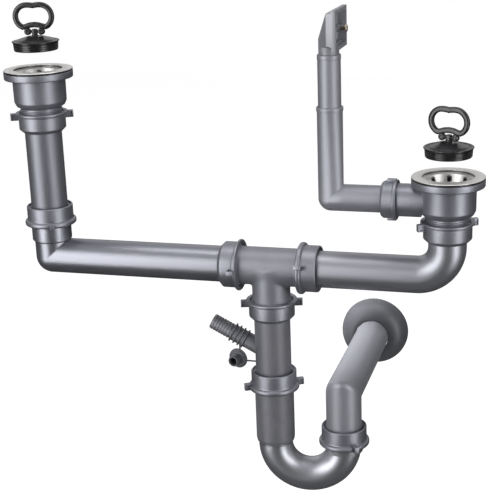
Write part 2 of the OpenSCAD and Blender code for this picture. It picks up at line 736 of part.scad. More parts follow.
// Blanking cap for the spigot, moulded beside it on two thin runners
module blanking_cap() {
    color(plastic) difference() {
        union() {
            at_tee() translate([cap_x, 0, -cap_drop]) rotate([90, 0, cap_turn]) {
                cylinder(r = cap_disc_r, h = cap_disc_t);
                translate([0, 0, cap_disc_t - eps]) cylinder(r = cap_disc_r - 1.6, h = 1.2);
                cylinder(r = cap_hub_r, h = cap_hub_len);
            }
            at_tee() translate([cap_x, -runner_w / 2, -cap_drop - runner_drop])
                cube([-cap_x - pipe_r + 2, runner_w, runner_w]);
            at_tee() translate([runner_x, -runner_w / 2, -cap_drop])
                cube([runner_w, runner_w, runner_rise]);
        }
        at_tee() translate([cap_x, 0, -cap_drop]) rotate([90, 0, cap_turn])
            translate([0, 0, cap_disc_t]) cylinder(r = cap_hub_r - cap_wall, h = cap_hub_len);
        at_tee() translate([0, 0, -cap_drop - 20]) cylinder(r = pipe_r + 0.02, h = 40);
        at_spigot() cylinder(r = spigot_d / 2 + 0.72, h = spigot_len);
    }
}

module trap_inlet_nut() { at_trap_joint() nut(pipe_d, true, 28); }
module trap_inlet_seal() { at_trap_joint() seal(pipe_d); }

// Sleeve that takes the inlet tube at any height, with a thread on top and a tapered foot
module trap_sleeve() {
    r_out = socket_r(pipe_d);
    r_in = pipe_r + run_gap;
    top = trap_nut_drop - thread_len;
    color(plastic) at_tee() difference() {
        union() {
            translate([0, 0, -sleeve_bottom + sleeve_chamfer])
                cylinder(r = r_out, h = sleeve_bottom - sleeve_chamfer - trap_nut_drop);
            translate([0, 0, -sleeve_bottom])
                cylinder(r1 = bend_tube_r + 1, r2 = r_out, h = sleeve_chamfer);
            translate([0, 0, -trap_nut_drop]) threaded_end(pipe_d);
        }
        translate([0, 0, -sleeve_bottom + bend_overlap - 1]) cylinder(r = r_in, h = sleeve_bottom - top + 2);
        translate([0, 0, -sleeve_bottom - 1]) cylinder(r = bend_tube_r + 0.05, h = bend_overlap + 1);
    }
}

// Lower half of a ring about the middle between the trap's two legs
module half_ring(r) {
    translate([bend_r, 0, -bend_drop]) rotate([90, 0, 0]) rotate([0, 0, 180]) rotate_extrude(angle = 180)
        translate([bend_r, 0]) circle(r = r);
}

// U bend: a half ring of pipe with a short inlet leg and the threaded outlet socket
module trap_bend() {
    inner = bend_tube_r - pipe_wall;
    inlet_leg = bend_drop - sleeve_bottom + bend_overlap - 0.1;
    color(plastic) at_tee() rotate([0, 0, trap_turn]) difference() {
        union() {
            half_ring(bend_tube_r);
            translate([0, 0, -bend_drop]) cylinder(r = bend_tube_r, h = inlet_leg);
            translate([2 * bend_r, 0, -bend_drop - outlet_ring_h + 4])
                cylinder(r = outlet_ring_r, h = outlet_ring_h - 2);
            translate([2 * bend_r, 0, -outlet_nut_drop - 1]) cylinder(r = socket_r(pipe_d), h = 1 + eps);
            translate([2 * bend_r, 0, -outlet_nut_drop]) threaded_end(pipe_d);
        }
        half_ring(inner);
        translate([0, 0, -bend_drop]) cylinder(r = inner, h = 20);
        translate([2 * bend_r, 0, -bend_drop]) cylinder(r = inner, h = 30);
        translate([2 * bend_r, 0, -outlet_nut_drop]) cylinder(r = socket_bore(pipe_d), h = thread_len + 1);
    }
}

module outlet_nut() { at_outlet_joint() nut(pipe_d, true, -53); }
module outlet_seal() { at_outlet_joint() seal(pipe_d); }

// Wall pipe: a stub in the trap's outlet, a rounded elbow and the long leg to the wall, with
// a shallow groove that marks how far its end goes into the drain's socket
module wall_pipe() {
    stub = outlet_nut_drop - 2 - wall_pipe_drop;
    color(plastic) at_outlet() translate([0, 0, -wall_pipe_drop]) difference() {
        union() {
            sphere(r = pipe_r);
            translate([0, 0, -stub]) cylinder(r = pipe_r, h = stub);
            rotate([-90, 0, 0]) cylinder(r = pipe_r, h = wall_pipe_len);
        }
        sphere(r = pipe_bore_r);
        translate([0, 0, -stub - 1]) cylinder(r = pipe_bore_r, h = stub + 1);
        rotate([-90, 0, 0]) cylinder(r = pipe_bore_r, h = wall_pipe_len + 1);
        rotate([-90, 0, 0]) translate([0, 0, wall_pipe_len - mark_back - mark_w])
            pipe(pipe_r + 1, pipe_r - mark_depth, mark_w);
    }
}

// Domed rosette that hides the hole in the wall
module rosette() {
    rim = rosette_d / 2;
    hole = pipe_r + run_gap;
    t = rosette_wall;
    at_rim = [0, wall_pipe_len - rosette_back, -wall_pipe_drop];
    color(plastic) at_outlet() translate(at_rim) rotate([90, 0, 0])
        rotate_extrude()
            polygon(concat(
                [[rim, 0]],
                [for (a = [0 : 10 : 90]) [hole + t + (rim - hole - t) * cos(a),
                    rosette_rim + (rosette_depth - rosette_rim) * sin(a)]],
                [[hole, rosette_depth], [hole, rosette_depth - t]],
                [for (a = [90 : -10 : 0]) [hole + t + (rim - hole - 2 * t) * cos(a),
                    rosette_rim + (rosette_depth - rosette_rim - t) * sin(a)]],
                [[rim - t, 0]]));
}

left_plug();
left_plug_post();
left_plug_ring();
left_strainer();
left_strainer_screw();
left_flange_gasket();
left_waste_body();
left_upper_nut();
left_upper_seal();
left_tailpipe();
left_lower_nut();
left_lower_seal();
left_arm();
tee();
tee_left_nut();
tee_left_seal();
tee_right_nut();
tee_right_seal();
tee_lower_nut();
tee_lower_seal();
right_arm();
right_waste_nut();
right_waste_seal();
right_plug();
right_plug_post();
right_plug_ring();
right_strainer();
right_strainer_screw();
right_flange_gasket();
right_waste_body();
overflow_nut();
overflow_seal();
overflow_elbow();
overflow_tube();
overflow_tube_seal();
overflow_head();
overflow_screw();
inlet_tube();
blanking_cap();
trap_inlet_nut();
trap_inlet_seal();
trap_sleeve();
trap_bend();
outlet_nut();
outlet_seal();
wall_pipe();
rosette();
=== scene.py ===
# A double-bowl sink waste kit with a P trap: grey push-fit pipe, compression nuts and steel strainers.
# Sizes that a maker would read off a drawing are in millimetres, and meshes are in metres.
import json
import math

import bmesh
import bpy
import numpy as np
from mathutils import Matrix, Vector

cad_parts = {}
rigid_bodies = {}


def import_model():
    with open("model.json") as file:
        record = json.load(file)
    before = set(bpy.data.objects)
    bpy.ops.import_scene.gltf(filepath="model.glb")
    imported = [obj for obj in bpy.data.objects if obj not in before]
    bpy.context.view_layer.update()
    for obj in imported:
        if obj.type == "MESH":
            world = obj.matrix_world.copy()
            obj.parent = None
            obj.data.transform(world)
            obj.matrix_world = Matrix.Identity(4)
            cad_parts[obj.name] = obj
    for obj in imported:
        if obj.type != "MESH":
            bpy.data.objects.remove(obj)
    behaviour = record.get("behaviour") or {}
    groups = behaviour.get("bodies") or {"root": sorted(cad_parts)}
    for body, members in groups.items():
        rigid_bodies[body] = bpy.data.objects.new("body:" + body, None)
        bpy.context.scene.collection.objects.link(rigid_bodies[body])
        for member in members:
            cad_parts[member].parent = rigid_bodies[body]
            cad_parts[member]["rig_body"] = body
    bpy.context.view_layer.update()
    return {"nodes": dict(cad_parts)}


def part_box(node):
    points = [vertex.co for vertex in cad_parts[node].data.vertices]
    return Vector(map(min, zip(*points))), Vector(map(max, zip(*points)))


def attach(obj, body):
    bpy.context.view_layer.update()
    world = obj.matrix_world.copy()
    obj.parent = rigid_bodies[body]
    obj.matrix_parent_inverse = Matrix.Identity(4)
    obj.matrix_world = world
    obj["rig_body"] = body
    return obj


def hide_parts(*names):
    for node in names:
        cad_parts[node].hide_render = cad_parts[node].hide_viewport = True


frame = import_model()
MM = 0.001

KIT_MIDDLE = (-0.17, 0, -0.12)


def placed(name, data):
    """A new object in the scene."""
    made = bpy.data.objects.new(name, data)
    bpy.context.scene.collection.objects.link(made)
    return made


camera = placed("camera", bpy.data.cameras.new("camera"))
bpy.context.scene.camera = camera
camera.data.sensor_width = 36
camera.data.lens = 88.83
camera.data.clip_start = 0.05
camera.data.clip_end = 40
look_right = Vector((0.95962, 0.27883, -0.03714))
look_down = Vector((0.04936, -0.29690, -0.95363))
look_ahead = look_right.cross(look_down)
turn = Matrix((look_right, -look_down, -look_ahead)).transposed().to_4x4()
camera.matrix_world = Matrix.Translation((0.15179, -1.23502, 0.31401)) @ turn


def area_lamp(name, azimuth, elevation, away, width, height, power, aim=KIT_MIDDLE,
              spread=180, shows_in_gloss=True):
    """Azimuth 0 is in front and 90 is at the right."""
    side, up = math.radians(azimuth), math.radians(elevation)
    toward = Vector((math.sin(side) * math.cos(up), -math.cos(side) * math.cos(up), math.sin(up)))
    lamp = placed(name, bpy.data.lights.new(name, "AREA"))
    lamp.data.shape = "RECTANGLE"
    lamp.data.size = width
    lamp.data.size_y = height
    lamp.data.energy = power
    lamp.visible_camera = False
    lamp.visible_glossy = shows_in_gloss
    lamp.data.spread = math.radians(spread)
    lamp.matrix_world = (Matrix.Translation(Vector(aim) + away * toward)
                         @ toward.to_track_quat("Z", "Y").to_matrix().to_4x4())


area_lamp("left lamp", -36, 4, 2.6, 1.6, 3.2, 92)
area_lamp("right lamp", 62, 0, 2.6, 1.15, 3.2, 66)
area_lamp("top lamp", 0, 88, 2.2, 2.4, 0.5, 26)
area_lamp("wall pipe lamp", -100, 38, 0.42, 0.12, 0.2, 1.25, (-0.115, 0.12, -0.25), spread=70,
          shows_in_gloss=False)


def join(tree, value, socket):
    """Links a socket or a node's first output to an input, or sets the input to a plain value."""
    if isinstance(value, bpy.types.Node):
        value = value.outputs[0]
    if isinstance(value, bpy.types.NodeSocket):
        tree.links.new(value, socket)
    else:
        socket.default_value = value


def link(tree, kind, settings, **sockets):
    """Adds a node. A socket's name has _ for a space, and a value that is a node is linked."""
    made = tree.nodes.new(kind)
    for label, value in settings.items():
        setattr(made, label, value)
    for label, value in sockets.items():
        join(tree, value, made.inputs[label.replace("_", " ")])
    return made


def maths(tree, operation, *values):
    made = link(tree, "ShaderNodeMath", {"operation": operation})
    for socket, value in zip(made.inputs, values):
        join(tree, value, socket)
    return made


def mixed_shader(tree, share, first, second):
    mix = link(tree, "ShaderNodeMixShader", {}, Fac=share)
    join(tree, first, mix.inputs[1])
    join(tree, second, mix.inputs[2])
    return mix


def backdrop_nodes(tree, seen, unseen):
    """Puts one shader where the camera, a gloss or glass looks, and another where light comes from."""
    rays = link(tree, "ShaderNodeLightPath", {}).outputs
    looks = rays["Is Camera Ray"]
    for ray in ("Is Glossy Ray", "Is Transmission Ray"):
        looks = maths(tree, "MAXIMUM", looks, rays[ray])
    return mixed_shader(tree, looks, unseen, seen)


def bare_tree(owner):
    """The emptied node tree of a world or a material."""
    owner.use_nodes = True
    owner.node_tree.nodes.clear()
    return owner.node_tree


world = bpy.data.worlds.new("studio")
bpy.context.scene.world = world
sky = bare_tree(world)
white = link(sky, "ShaderNodeBackground", {}, Color=(1, 1, 1, 1), Strength=1)
dim = link(sky, "ShaderNodeBackground", {}, Color=(1, 1, 1, 1), Strength=0.1)
link(sky, "ShaderNodeOutputWorld", {}, Surface=backdrop_nodes(sky, white, dim))
bpy.context.scene.view_settings.view_transform = "Standard"

# Dark cards close the studio in on four sides and below, under a grey ceiling. They show only in
# gloss and give the pipes their dark edges. The back card is low, so that the steel sees white.
ROOM, CEILING, BACK_CARD = 6.6, 2.6, 0.75
room = bmesh.new()
bmesh.ops.create_cube(room, size=ROOM)
for face in room.faces:
    face.material_index = 1 if face.normal.z > 0.9 else 0
bmesh.ops.split_edges(room, edges=[e for e in room.edges if e.verts[0].co.z + e.verts[1].co.z > 0.1])
for corner in room.verts:
    if corner.co.z > 0:
        at_back = corner.co.y > 0 and not any(face.material_index for face in corner.link_faces)
        corner.co.z = BACK_CARD if at_back else CEILING
cards_mesh = bpy.data.meshes.new("dark cards")
room.to_mesh(cards_mesh)
room.free()
cards = placed("dark_cards", cards_mesh)
for ray in ("camera", "diffuse", "transmission", "volume_scatter", "shadow"):
    setattr(cards, "visible_" + ray, False)
for name, level in (("dark card", 0.012), ("grey ceiling", 0.45)):
    cards_mesh.materials.append(bpy.data.materials.new(name))
    card = bare_tree(cards_mesh.materials[-1])
    glow = link(card, "ShaderNodeEmission", {}, Color=(level, level, level * 1.05, 1), Strength=1)
    link(card, "ShaderNodeOutputMaterial", {}, Surface=glow)


# --- Left and right waste bodies ---
# Each waste body is one moulding in silver-grey polypropylene: a flange that the sink's gasket
# sits on, a cup, and a threaded neck. The right one also has a threaded side port for the overflow.
TAIL_R, PIPE_R = 20.5, 20
FLANGE_R, FLANGE_RECESS_R = 38, 29.3
CUP_R, CUP_WALL = 28.8, 2
NECK_TOP, NECK_END = 41.5, 58.5
SOCKET_WALL, SOCKET_GAP, SOCKET_DEPTH = 1.9, 0.2, 16
THREAD_H, THREAD_LEN = 1.1, 12
PORT_DROP = 26
STEPS_ROUND = 128
SAME_SPOT = 0.002 * MM


def empty_group(name, kind, inputs, outputs):
    tree = bpy.data.node_groups.new(name, kind)
    for way, sockets in (("INPUT", inputs), ("OUTPUT", outputs)):
        for label, socket in sockets.items():
            tree.interface.new_socket(label, in_out=way, socket_type="NodeSocket" + socket)
    return tree, tree.nodes.new("NodeGroupInput").outputs


def close_tree(tree, geometry, material):
    """Ends a geometry tree in real geometry with its finish on it."""
    real = link(tree, "GeometryNodeRealizeInstances", {}, Geometry=geometry)
    skin = link(tree, "GeometryNodeSetMaterial", {}, Geometry=real, Material=material)
    link(tree, "NodeGroupOutput", {}, Geometry=skin)


# The grain of a finish: slow clouds in its colour, and fine flecks in its gloss and its surface
grain, asked = empty_group(
    "grain", "ShaderNodeTree",
    {"Vector": "Vector", "Cloud size": "Float", "Fleck size": "Float", "Dark": "Color", "Light": "Color",
     "Glossy": "Float", "Dull": "Float"},
    {"Colour": "Color", "Roughness": "Float", "Height": "Float"})
cloud = link(grain, "ShaderNodeTexNoise", {}, Vector=asked["Vector"], Detail=3.0,
             Scale=maths(grain, "DIVIDE", 1, asked["Cloud size"]))
fleck = link(grain, "ShaderNodeTexNoise", {}, Vector=asked["Vector"], Detail=2.0,
             Scale=maths(grain, "DIVIDE", 1, asked["Fleck size"]))
blend = maths(grain, "ADD", maths(grain, "MULTIPLY", cloud, 1.6), maths(grain, "SUBTRACT", fleck, 0.8))
tint = link(grain, "ShaderNodeMix", {"data_type": "RGBA"})
join(grain, blend, tint.inputs[0])
join(grain, asked["Dark"], tint.inputs[6])
join(grain, asked["Light"], tint.inputs[7])
gloss = link(grain, "ShaderNodeMapRange", {}, Value=blend, To_Min=asked["Glossy"], To_Max=asked["Dull"])
link(grain, "NodeGroupOutput", {}, Colour=tint.outputs[2], Roughness=gloss, Height=fleck)


def finish(name, dark, light, glossy, dull, cloud_size, fleck_size, bump, metallic=0.0, vector=None):
    """A finish with the grain on it. Sizes are in metres, and vector builds its own coordinates."""
    material = bpy.data.materials.new(name)
    material.use_nodes = True
    tree = material.node_tree
    surface = tree.nodes["Principled BSDF"]
    spot = vector(tree) if vector else link(tree, "ShaderNodeTexCoord", {}).outputs["Object"]
    group = link(tree, "ShaderNodeGroup", {"node_tree": grain}, Vector=spot, Cloud_size=cloud_size,
                 Fleck_size=fleck_size, Dark=(*dark, 1), Light=(*light, 1), Glossy=glossy, Dull=dull)
    rise = link(tree, "ShaderNodeBump", {}, Strength=bump, Distance=0.4 * MM,
                Height=group.outputs["Height"])
    join(tree, group.outputs["Colour"], surface.inputs["Base Color"])
    join(tree, group.outputs["Roughness"], surface.inputs["Roughness"])
    join(tree, rise, surface.inputs["Normal"])
    surface.inputs["Metallic"].default_value = metallic
    return material


moulded_grey = finish("moulded grey polypropylene", (0.225, 0.23, 0.260), (0.265, 0.268, 0.297),
                      0.45, 0.53, 0.03, 0.0011, 0.22, metallic=0.85)

# A turned piece: an outline of (radius, height) is rounded at its corners and swung round its axis
turned, asked = empty_group(
    "turned piece", "GeometryNodeTree",
    {"Outline": "Geometry", "Steps round": "Int", "Corner steps": "Int", "Finish": "Material"},
    {"Geometry": "Geometry"})
line = link(turned, "GeometryNodeMeshToCurve", {}, Mesh=asked["Outline"])
corner = link(turned, "GeometryNodeInputNamedAttribute", {"data_type": "FLOAT"}, Name="corner")
rounded = link(turned, "GeometryNodeFilletCurve", {"mode": "POLY"}, Curve=line,
               Radius=corner.outputs["Attribute"], Count=asked["Corner steps"], Limit_Radius=True)
wire = link(turned, "GeometryNodeCurveToMesh", {}, Curve=rounded)
size = link(turned, "GeometryNodeAttributeDomainSize", {"component": "MESH"}, Geometry=wire)
around = maths(turned, "ADD", asked["Steps round"], 1)
grid = link(turned, "GeometryNodeMeshGrid", {}, Vertices_Y=around,
            Vertices_X=maths(turned, "ADD", size.outputs["Point Count"], 1))
index = link(turned, "GeometryNodeInputIndex", {})
row = maths(turned, "FLOOR", maths(turned, "DIVIDE", maths(turned, "ADD", index, 0.5), around))
step = maths(turned, "SUBTRACT", index, maths(turned, "MULTIPLY", row, around))
angle = maths(turned, "MULTIPLY", maths(turned, "DIVIDE", step, asked["Steps round"]), math.tau)
place_on_line = maths(turned, "MODULO", row, size.outputs["Point Count"])
spot = link(turned, "GeometryNodeSampleIndex", {"data_type": "FLOAT_VECTOR", "domain": "POINT"},
            Geometry=wire, Value=link(turned, "GeometryNodeInputPosition", {}), Index=place_on_line)
out_and_up = link(turned, "ShaderNodeSeparateXYZ", {}, Vector=spot).outputs
swung = link(turned, "ShaderNodeCombineXYZ", {},
             X=maths(turned, "MULTIPLY", out_and_up["X"], maths(turned, "COSINE", angle)),
             Y=maths(turned, "MULTIPLY", out_and_up["X"], maths(turned, "SINE", angle)),
             Z=out_and_up["Z"])
surface = link(turned, "GeometryNodeSetPosition", {}, Geometry=grid, Position=swung)
closed = link(turned, "GeometryNodeMergeByDistance", {}, Geometry=surface, Distance=SAME_SPOT)
kept = link(turned, "GeometryNodeStoreNamedAttribute", {"data_type": "FLOAT_VECTOR", "domain": "POINT"},
            Geometry=closed, Name="run", Value=link(turned, "GeometryNodeInputPosition", {}))
close_tree(turned, kept, asked["Finish"])


def grown(host, tree, **values):
    """Runs a geometry tree on a mesh and gives back the plain mesh that comes out."""
    holder = placed(tree.name, host)
    grower = holder.modifiers.new(tree.name, "NODES")
    grower.node_group = tree
    for item in tree.interface.items_tree:
        if item.in_out == "INPUT" and item.name.replace(" ", "_") in values:
            grower[item.identifier] = values[item.name.replace(" ", "_")]
    depsgraph = bpy.context.evaluated_depsgraph_get()
    mesh = bpy.data.meshes.new_from_object(holder.evaluated_get(depsgraph), depsgraph=depsgraph)
    bpy.data.objects.remove(holder)
    return mesh


def spun(outline, material, steps=STEPS_ROUND):
    """A mesh swung from a closed outline of (radius, height, corner radius) in millimetres."""
    host = bpy.data.meshes.new("outline")
    count = len(outline)
    host.from_pydata([(r * MM, 0, z * MM) for r, z, *_ in outline],
                     [(i, (i + 1) % count) for i in range(count)], [])
    corners = host.attributes.new("corner", "FLOAT", "POINT")
    corners.data.foreach_set("value", [(point[2] if len(point) > 2 else 0) * MM for point in outline])
    return grown(host, turned, Steps_round=steps, Corner_steps=4, Finish=material)


def block(low, high, edge):
    """A bmesh of a block between two corners in millimetres, with rounded edges."""
    skin = bmesh.new()
    bmesh.ops.create_cube(skin, size=1)
    low, high = Vector(low) * MM, Vector(high) * MM
    for vert in skin.verts:
        vert.co = Vector(high[i] if vert.co[i] > 0 else low[i] for i in range(3))
    bmesh.ops.bevel(skin, geom=skin.edges[:], offset=edge * MM, segments=3, profile=0.5, affect="EDGES")
    return skin


def as_mesh(skin, name, material):
    """Turns a bmesh into a mesh of one material."""
    mesh = bpy.data.meshes.new(name)
    skin.to_mesh(mesh)
    skin.free()
    mesh.materials.append(material)
    return mesh


def bar(low, high, material, edge=0.4):
    return as_mesh(block(low, high, edge), "bar", material)


def at(x, y, z):
    return Matrix.Translation(Vector((x, y, z)) * MM)


def facing(axis, degrees):
    return Matrix.Rotation(math.radians(degrees), 4, axis)


def piece(node, parts, sharp=40):
    """Joins (mesh, place) parts into the piece that stands for a CAD node and moves with its body."""
    whole = bmesh.new()
    for mesh, place in parts:
        mesh.transform(place)
        part = bmesh.new()
        part.from_mesh(mesh)
        bmesh.ops.delete(part, geom=[e for e in part.edges if not e.link_faces], context="EDGES")
        bmesh.ops.recalc_face_normals(part, faces=part.faces)
        part.to_mesh(mesh)
        part.free()
        whole.from_mesh(mesh)
    for face in whole.faces:
        face.smooth = True
        face.material_index = 0
    made = placed(node + "_look", bpy.data.meshes.new(node + "_look"))
    whole.to_mesh(made.data)
    whole.free()
    made.data.materials.append(parts[0][0].materials[-1])
    made.data.set_sharp_from_angle(angle=math.radians(sharp))
    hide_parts(node)
    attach(made, frame["nodes"][node]["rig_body"])
    return made


def thread_outline(r, start, end, way):
    """Ridges of a moulded thread from one height to another, as points of an outline."""
    ridges = []
    for i in range(3):
        middle = start + (end - start) * (i + 0.5) / 3
        ridges += [(r, middle - way * 1.3, 0.2), (r + THREAD_H, middle - way * 0.5, 0.25),
                   (r + THREAD_H, middle + way * 0.5, 0.25), (r, middle + way * 1.3, 0.2)]
    return ridges


def waste_outline(pipe_r):
    neck, bore, cup_bore = pipe_r + SOCKET_WALL, pipe_r + SOCKET_GAP, CUP_R - CUP_WALL
    stop = SOCKET_DEPTH + 1 - NECK_END
    return ([(FLANGE_RECESS_R, -1.6), (FLANGE_R, -1.6, 0.6), (FLANGE_R - 0.2, -9.1, 1.2),
             (CUP_R + 0.3, -9.1, 1.4), (CUP_R, -34.5, 3), (CUP_R - 2.2, -39, 2.5),
             (neck, -NECK_TOP, 0.6), (neck, -42.9, 0.3), (neck + THREAD_H, -43.5, 0.3),
             (neck + THREAD_H, -44.5, 0.3), (neck, -45.1, 0.3)]
            + thread_outline(neck, THREAD_LEN - NECK_END, -NECK_END, -1)
            + [(neck, -NECK_END, 0.4), (bore, -NECK_END, 0.4), (bore, stop, 0.2), (bore - 1.5, stop, 0.3),
               (bore - 1.5, 1 - NECK_TOP, 2), (cup_bore, -35.5, 3), (cup_bore, -9.1, 1),
               (FLANGE_RECESS_R, -3.6, 0.4)])


def waste_parts(pipe_r, seat):
    """The turned body, with the hub and its four arms that take the strainer's screw."""
    hub = [(3.3, -42.4, 0.3), (5.5, -42.4, 0.6), (5.5, -34.4, 0.8), (3.3, -34.4, 0.3)]
    arms = [(bar((-pipe_r, -1.5, -NECK_TOP), (pipe_r, 1.5, 4 - NECK_TOP), moulded_grey),
             seat @ facing("Z", turn)) for turn in (45, 135)]
    return [(spun(waste_outline(pipe_r), moulded_grey), seat), (spun(hub, moulded_grey, 48), seat)] + arms


RIM_H = 1.5
left_low, left_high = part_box("left_strainer")
left_seat = at((left_low.x + left_high.x) / 2 / MM, 0, left_high.z / MM - RIM_H)
right_seat = at(0, 0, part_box("right_strainer")[1].z / MM - RIM_H)
piece("left_waste_body", waste_parts(TAIL_R, left_seat))

PORT_R, PORT_BORE, PORT_THROAT = 17.3, 14.5, 11.5
PORT_END = -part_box("right_waste_body")[0].x / MM
port_axis = right_seat @ at(-PORT_END, 0, -PORT_DROP) @ facing("Y", 90)
valley = PORT_R - THREAD_H
port = [(PORT_BORE, 0, 0.4), (valley, 0, 0.4), (valley, 1.4, 0.2), (PORT_R, 2.4, 0.3), (PORT_R, 3.4, 0.3),
        (valley, 4.4, 0.2), (valley, 6.5, 0.2), (PORT_R, 6.7, 0.3), (PORT_R, PORT_END - 27.2),
        (PORT_THROAT, PORT_END - 27.2), (PORT_THROAT, PORT_END - CUP_R, 0.3),
        (PORT_BORE, PORT_END - CUP_R, 0.3)]
port_tube = spun(port, moulded_grey)
# the port's inner end follows the cup's wall, halfway through it
for vert in port_tube.vertices:
    if vert.co.z > (PORT_END - 27.3) * MM:
        vert.co.z = (PORT_END - math.sqrt(27.6 ** 2 - (vert.co.y / MM) ** 2)) * MM
piece("right_waste_body", waste_parts(PIPE_R, right_seat) + [(port_tube, port_axis)])


# --- Flange gaskets ---
# A flat ring of black rubber sits on each waste body's flange and seals it to the underside of
# the sink. The steel strainer is screwed down over it.
black_rubber = finish("black rubber", (0.006, 0.006, 0.007), (0.012, 0.012, 0.013),
                      0.26, 0.36, 0.02, 0.003, 0.05)
GASKET_BORE = 28.1
gasket = [(GASKET_BORE, -1.55), (FLANGE_R - 0.4, -1.55, 0.2), (FLANGE_R - 0.1, -0.8, 0.3),
          (FLANGE_R - 0.4, -0.05, 0.2), (GASKET_BORE, -0.05)]
for node, seat in (("left_flange_gasket", left_seat), ("right_flange_gasket", right_seat)):
    piece(node, [(spun(gasket, black_rubber), seat)])


# --- Strainers ---
# Each strainer is pressed from one sheet of stainless steel: a rolled rim, a bowl and a flat floor,
# with a ring of holes punched through the wall and another through the floor.
def spun_lines(tree):
    """Coordinates that only change outwards and upwards, as the lines that spinning leaves on steel."""
    run = link(tree, "ShaderNodeAttribute", {"attribute_name": "run"}).outputs["Vector"]
    across = link(tree, "ShaderNodeSeparateXYZ", {}, Vector=run).outputs
    flat = link(tree, "ShaderNodeCombineXYZ", {}, X=across["X"], Y=across["Y"])
    out = link(tree, "ShaderNodeVectorMath", {"operation": "LENGTH"}, Vector=flat).outputs["Value"]
    return link(tree, "ShaderNodeCombineXYZ", {}, X=out, Z=across["Z"])


spun_steel = finish("spun stainless steel", (0.60, 0.59, 0.575), (0.72, 0.71, 0.69), 0.42, 0.52,
                    0.004, 0.0008, 0.02, metallic=1.0, vector=spun_lines)
# the step below the rim is darkened with painted shade, for the shadow that falls in it under the rim
steel = spun_steel.node_tree
surface = steel.nodes["Principled BSDF"]
run = link(steel, "ShaderNodeAttribute", {"attribute_name": "run"}).outputs["Vector"]
run_height = link(steel, "ShaderNodeSeparateXYZ", {}, Vector=run).outputs["Z"]
# neck marks the band of the step that takes the painted shade, and its dark colour follows
neck = maths(steel, "COMPARE", run_height, -0.4 * MM, 0.9 * MM)
shade = link(steel, "ShaderNodeMix", {"data_type": "RGBA"})
join(steel, neck, shade.inputs[0])
join(steel, surface.inputs["Base Color"].links[0].from_socket, shade.inputs[6])
shade.inputs[7].default_value = (0.16, 0.155, 0.15, 1)
join(steel, shade.outputs[2], surface.inputs["Base Color"])

punched, asked = empty_group(
    "punched holes", "GeometryNodeTree",
    {"Sheet": "Geometry", "Holes": "Int", "Wall hole": "Float", "Wall ring": "Float",
     "Wall height": "Float", "Floor hole": "Float", "Floor ring": "Float", "Floor height": "Float",
     "Finish": "Material"},
    {"Geometry": "Geometry"})
punches = link(punched, "GeometryNodeJoinGeometry", {})
for place, sideways in (("Wall", True), ("Floor", False)):
    ring = link(punched, "GeometryNodeMeshCircle", {}, Vertices=asked["Holes"],
                Radius=asked[place + " ring"])
    height = link(punched, "ShaderNodeCombineXYZ", {}, Z=asked[place + " height"])
    lifted = link(punched, "GeometryNodeSetPosition", {}, Geometry=ring, Offset=height)
    punch = link(punched, "GeometryNodeMeshCylinder", {}, Vertices=24, Radius=asked[place + " hole"],
                 Depth=7 * MM)
    aim = link(punched, "FunctionNodeAlignRotationToVector", {"axis": "Z"})
    if sideways:
        spot = link(punched, "GeometryNodeInputPosition", {})
        level = link(punched, "ShaderNodeVectorMath", {"operation": "MULTIPLY"})
        join(punched, spot, level.inputs[0])
        level.inputs[1].default_value = (1, 1, 0)
        join(punched, level, aim.inputs["Vector"])
    else:
        aim.inputs["Vector"].default_value = (0, 0, 1)
    set_out = link(punched, "GeometryNodeInstanceOnPoints", {}, Points=lifted,
                   Instance=punch.outputs["Mesh"], Rotation=aim)
    whole = link(punched, "GeometryNodeRealizeInstances", {}, Geometry=set_out)
    join(punched, whole, punches.inputs[0])
cut = link(punched, "GeometryNodeMeshBoolean", {"operation": "DIFFERENCE"}, Mesh_1=asked["Sheet"])
join(punched, punches, cut.inputs["Mesh 2"])
close_tree(punched, cut, asked["Finish"])

bowl = [(3.3, -14), (21.8, -14, 2.2), (25, -3.2, 0.8), (27.6, -2.3, 0.6), (27.8, 0, 0.4), (37.7, 0, 0.2),
        (FLANGE_R, 0.5, 0.3), (37.4, 1.2, 0.3), (27.8, 1.5, 0.4), (26.7, 1, 0.3), (26.7, 0.4, 0.2),
        (27, 0.2, 0.2), (27, -1.5, 0.5), (24.4, -2.4, 0.6), (21.3, -13.2, 1.8), (3.3, -13.2)]
for node, seat, turn in (("left_strainer", left_seat, 22), ("right_strainer", right_seat, 4)):
    sheet = spun(bowl, spun_steel)
    sheet = grown(sheet, punched, Holes=8, Wall_hole=2.5 * MM, Wall_ring=24 * MM, Wall_height=-8 * MM,
                  Floor_hole=1.8 * MM, Floor_ring=13 * MM, Floor_height=-13.6 * MM, Finish=spun_steel)
    piece(node, [(sheet, seat @ facing("Z", turn))], sharp=30)


# --- Strainer screws ---
# A long stainless screw with a slotted head goes through each strainer's floor into the hub of the
# waste body, and clamps the sink between the steel rim and the gasket.
def softened(node, width, material, sharp=28):
    """A copy of a CAD node's mesh with its edges rounded, for shapes that are cut from a block."""
    skin = bmesh.new()
    skin.from_mesh(frame["nodes"][node].data)
    bmesh.ops.remove_doubles(skin, verts=skin.verts, dist=0.01 * MM)
    bmesh.ops.dissolve_limit(skin, angle_limit=math.radians(1.5), verts=skin.verts, edges=skin.edges)
    edges = [e for e in skin.edges if len(e.link_faces) == 2 and e.calc_face_angle() > math.radians(sharp)]
    bmesh.ops.bevel(skin, geom=edges, offset=width * MM, segments=2, profile=0.5, affect="EDGES",
                    clamp_overlap=True)
    return as_mesh(skin, node, material)


turned_steel = finish("turned stainless steel", (0.42, 0.41, 0.40), (0.58, 0.57, 0.55),
                      0.20, 0.34, 0.004, 0.0008, 0.12, metallic=1.0)
for node in ("left_strainer_screw", "right_strainer_screw"):
    piece(node, [(softened(node, 0.25, turned_steel), Matrix())], sharp=32)


# --- Plugs ---
# Each plug is moulded in black rubber: a ribbed skirt that wedges in the strainer's opening, and a
# low dome with a square post on it, which carries the pull ring.
PLUG_R, PLUG_H, SKIRT_R = 25.8, 10.5, 24


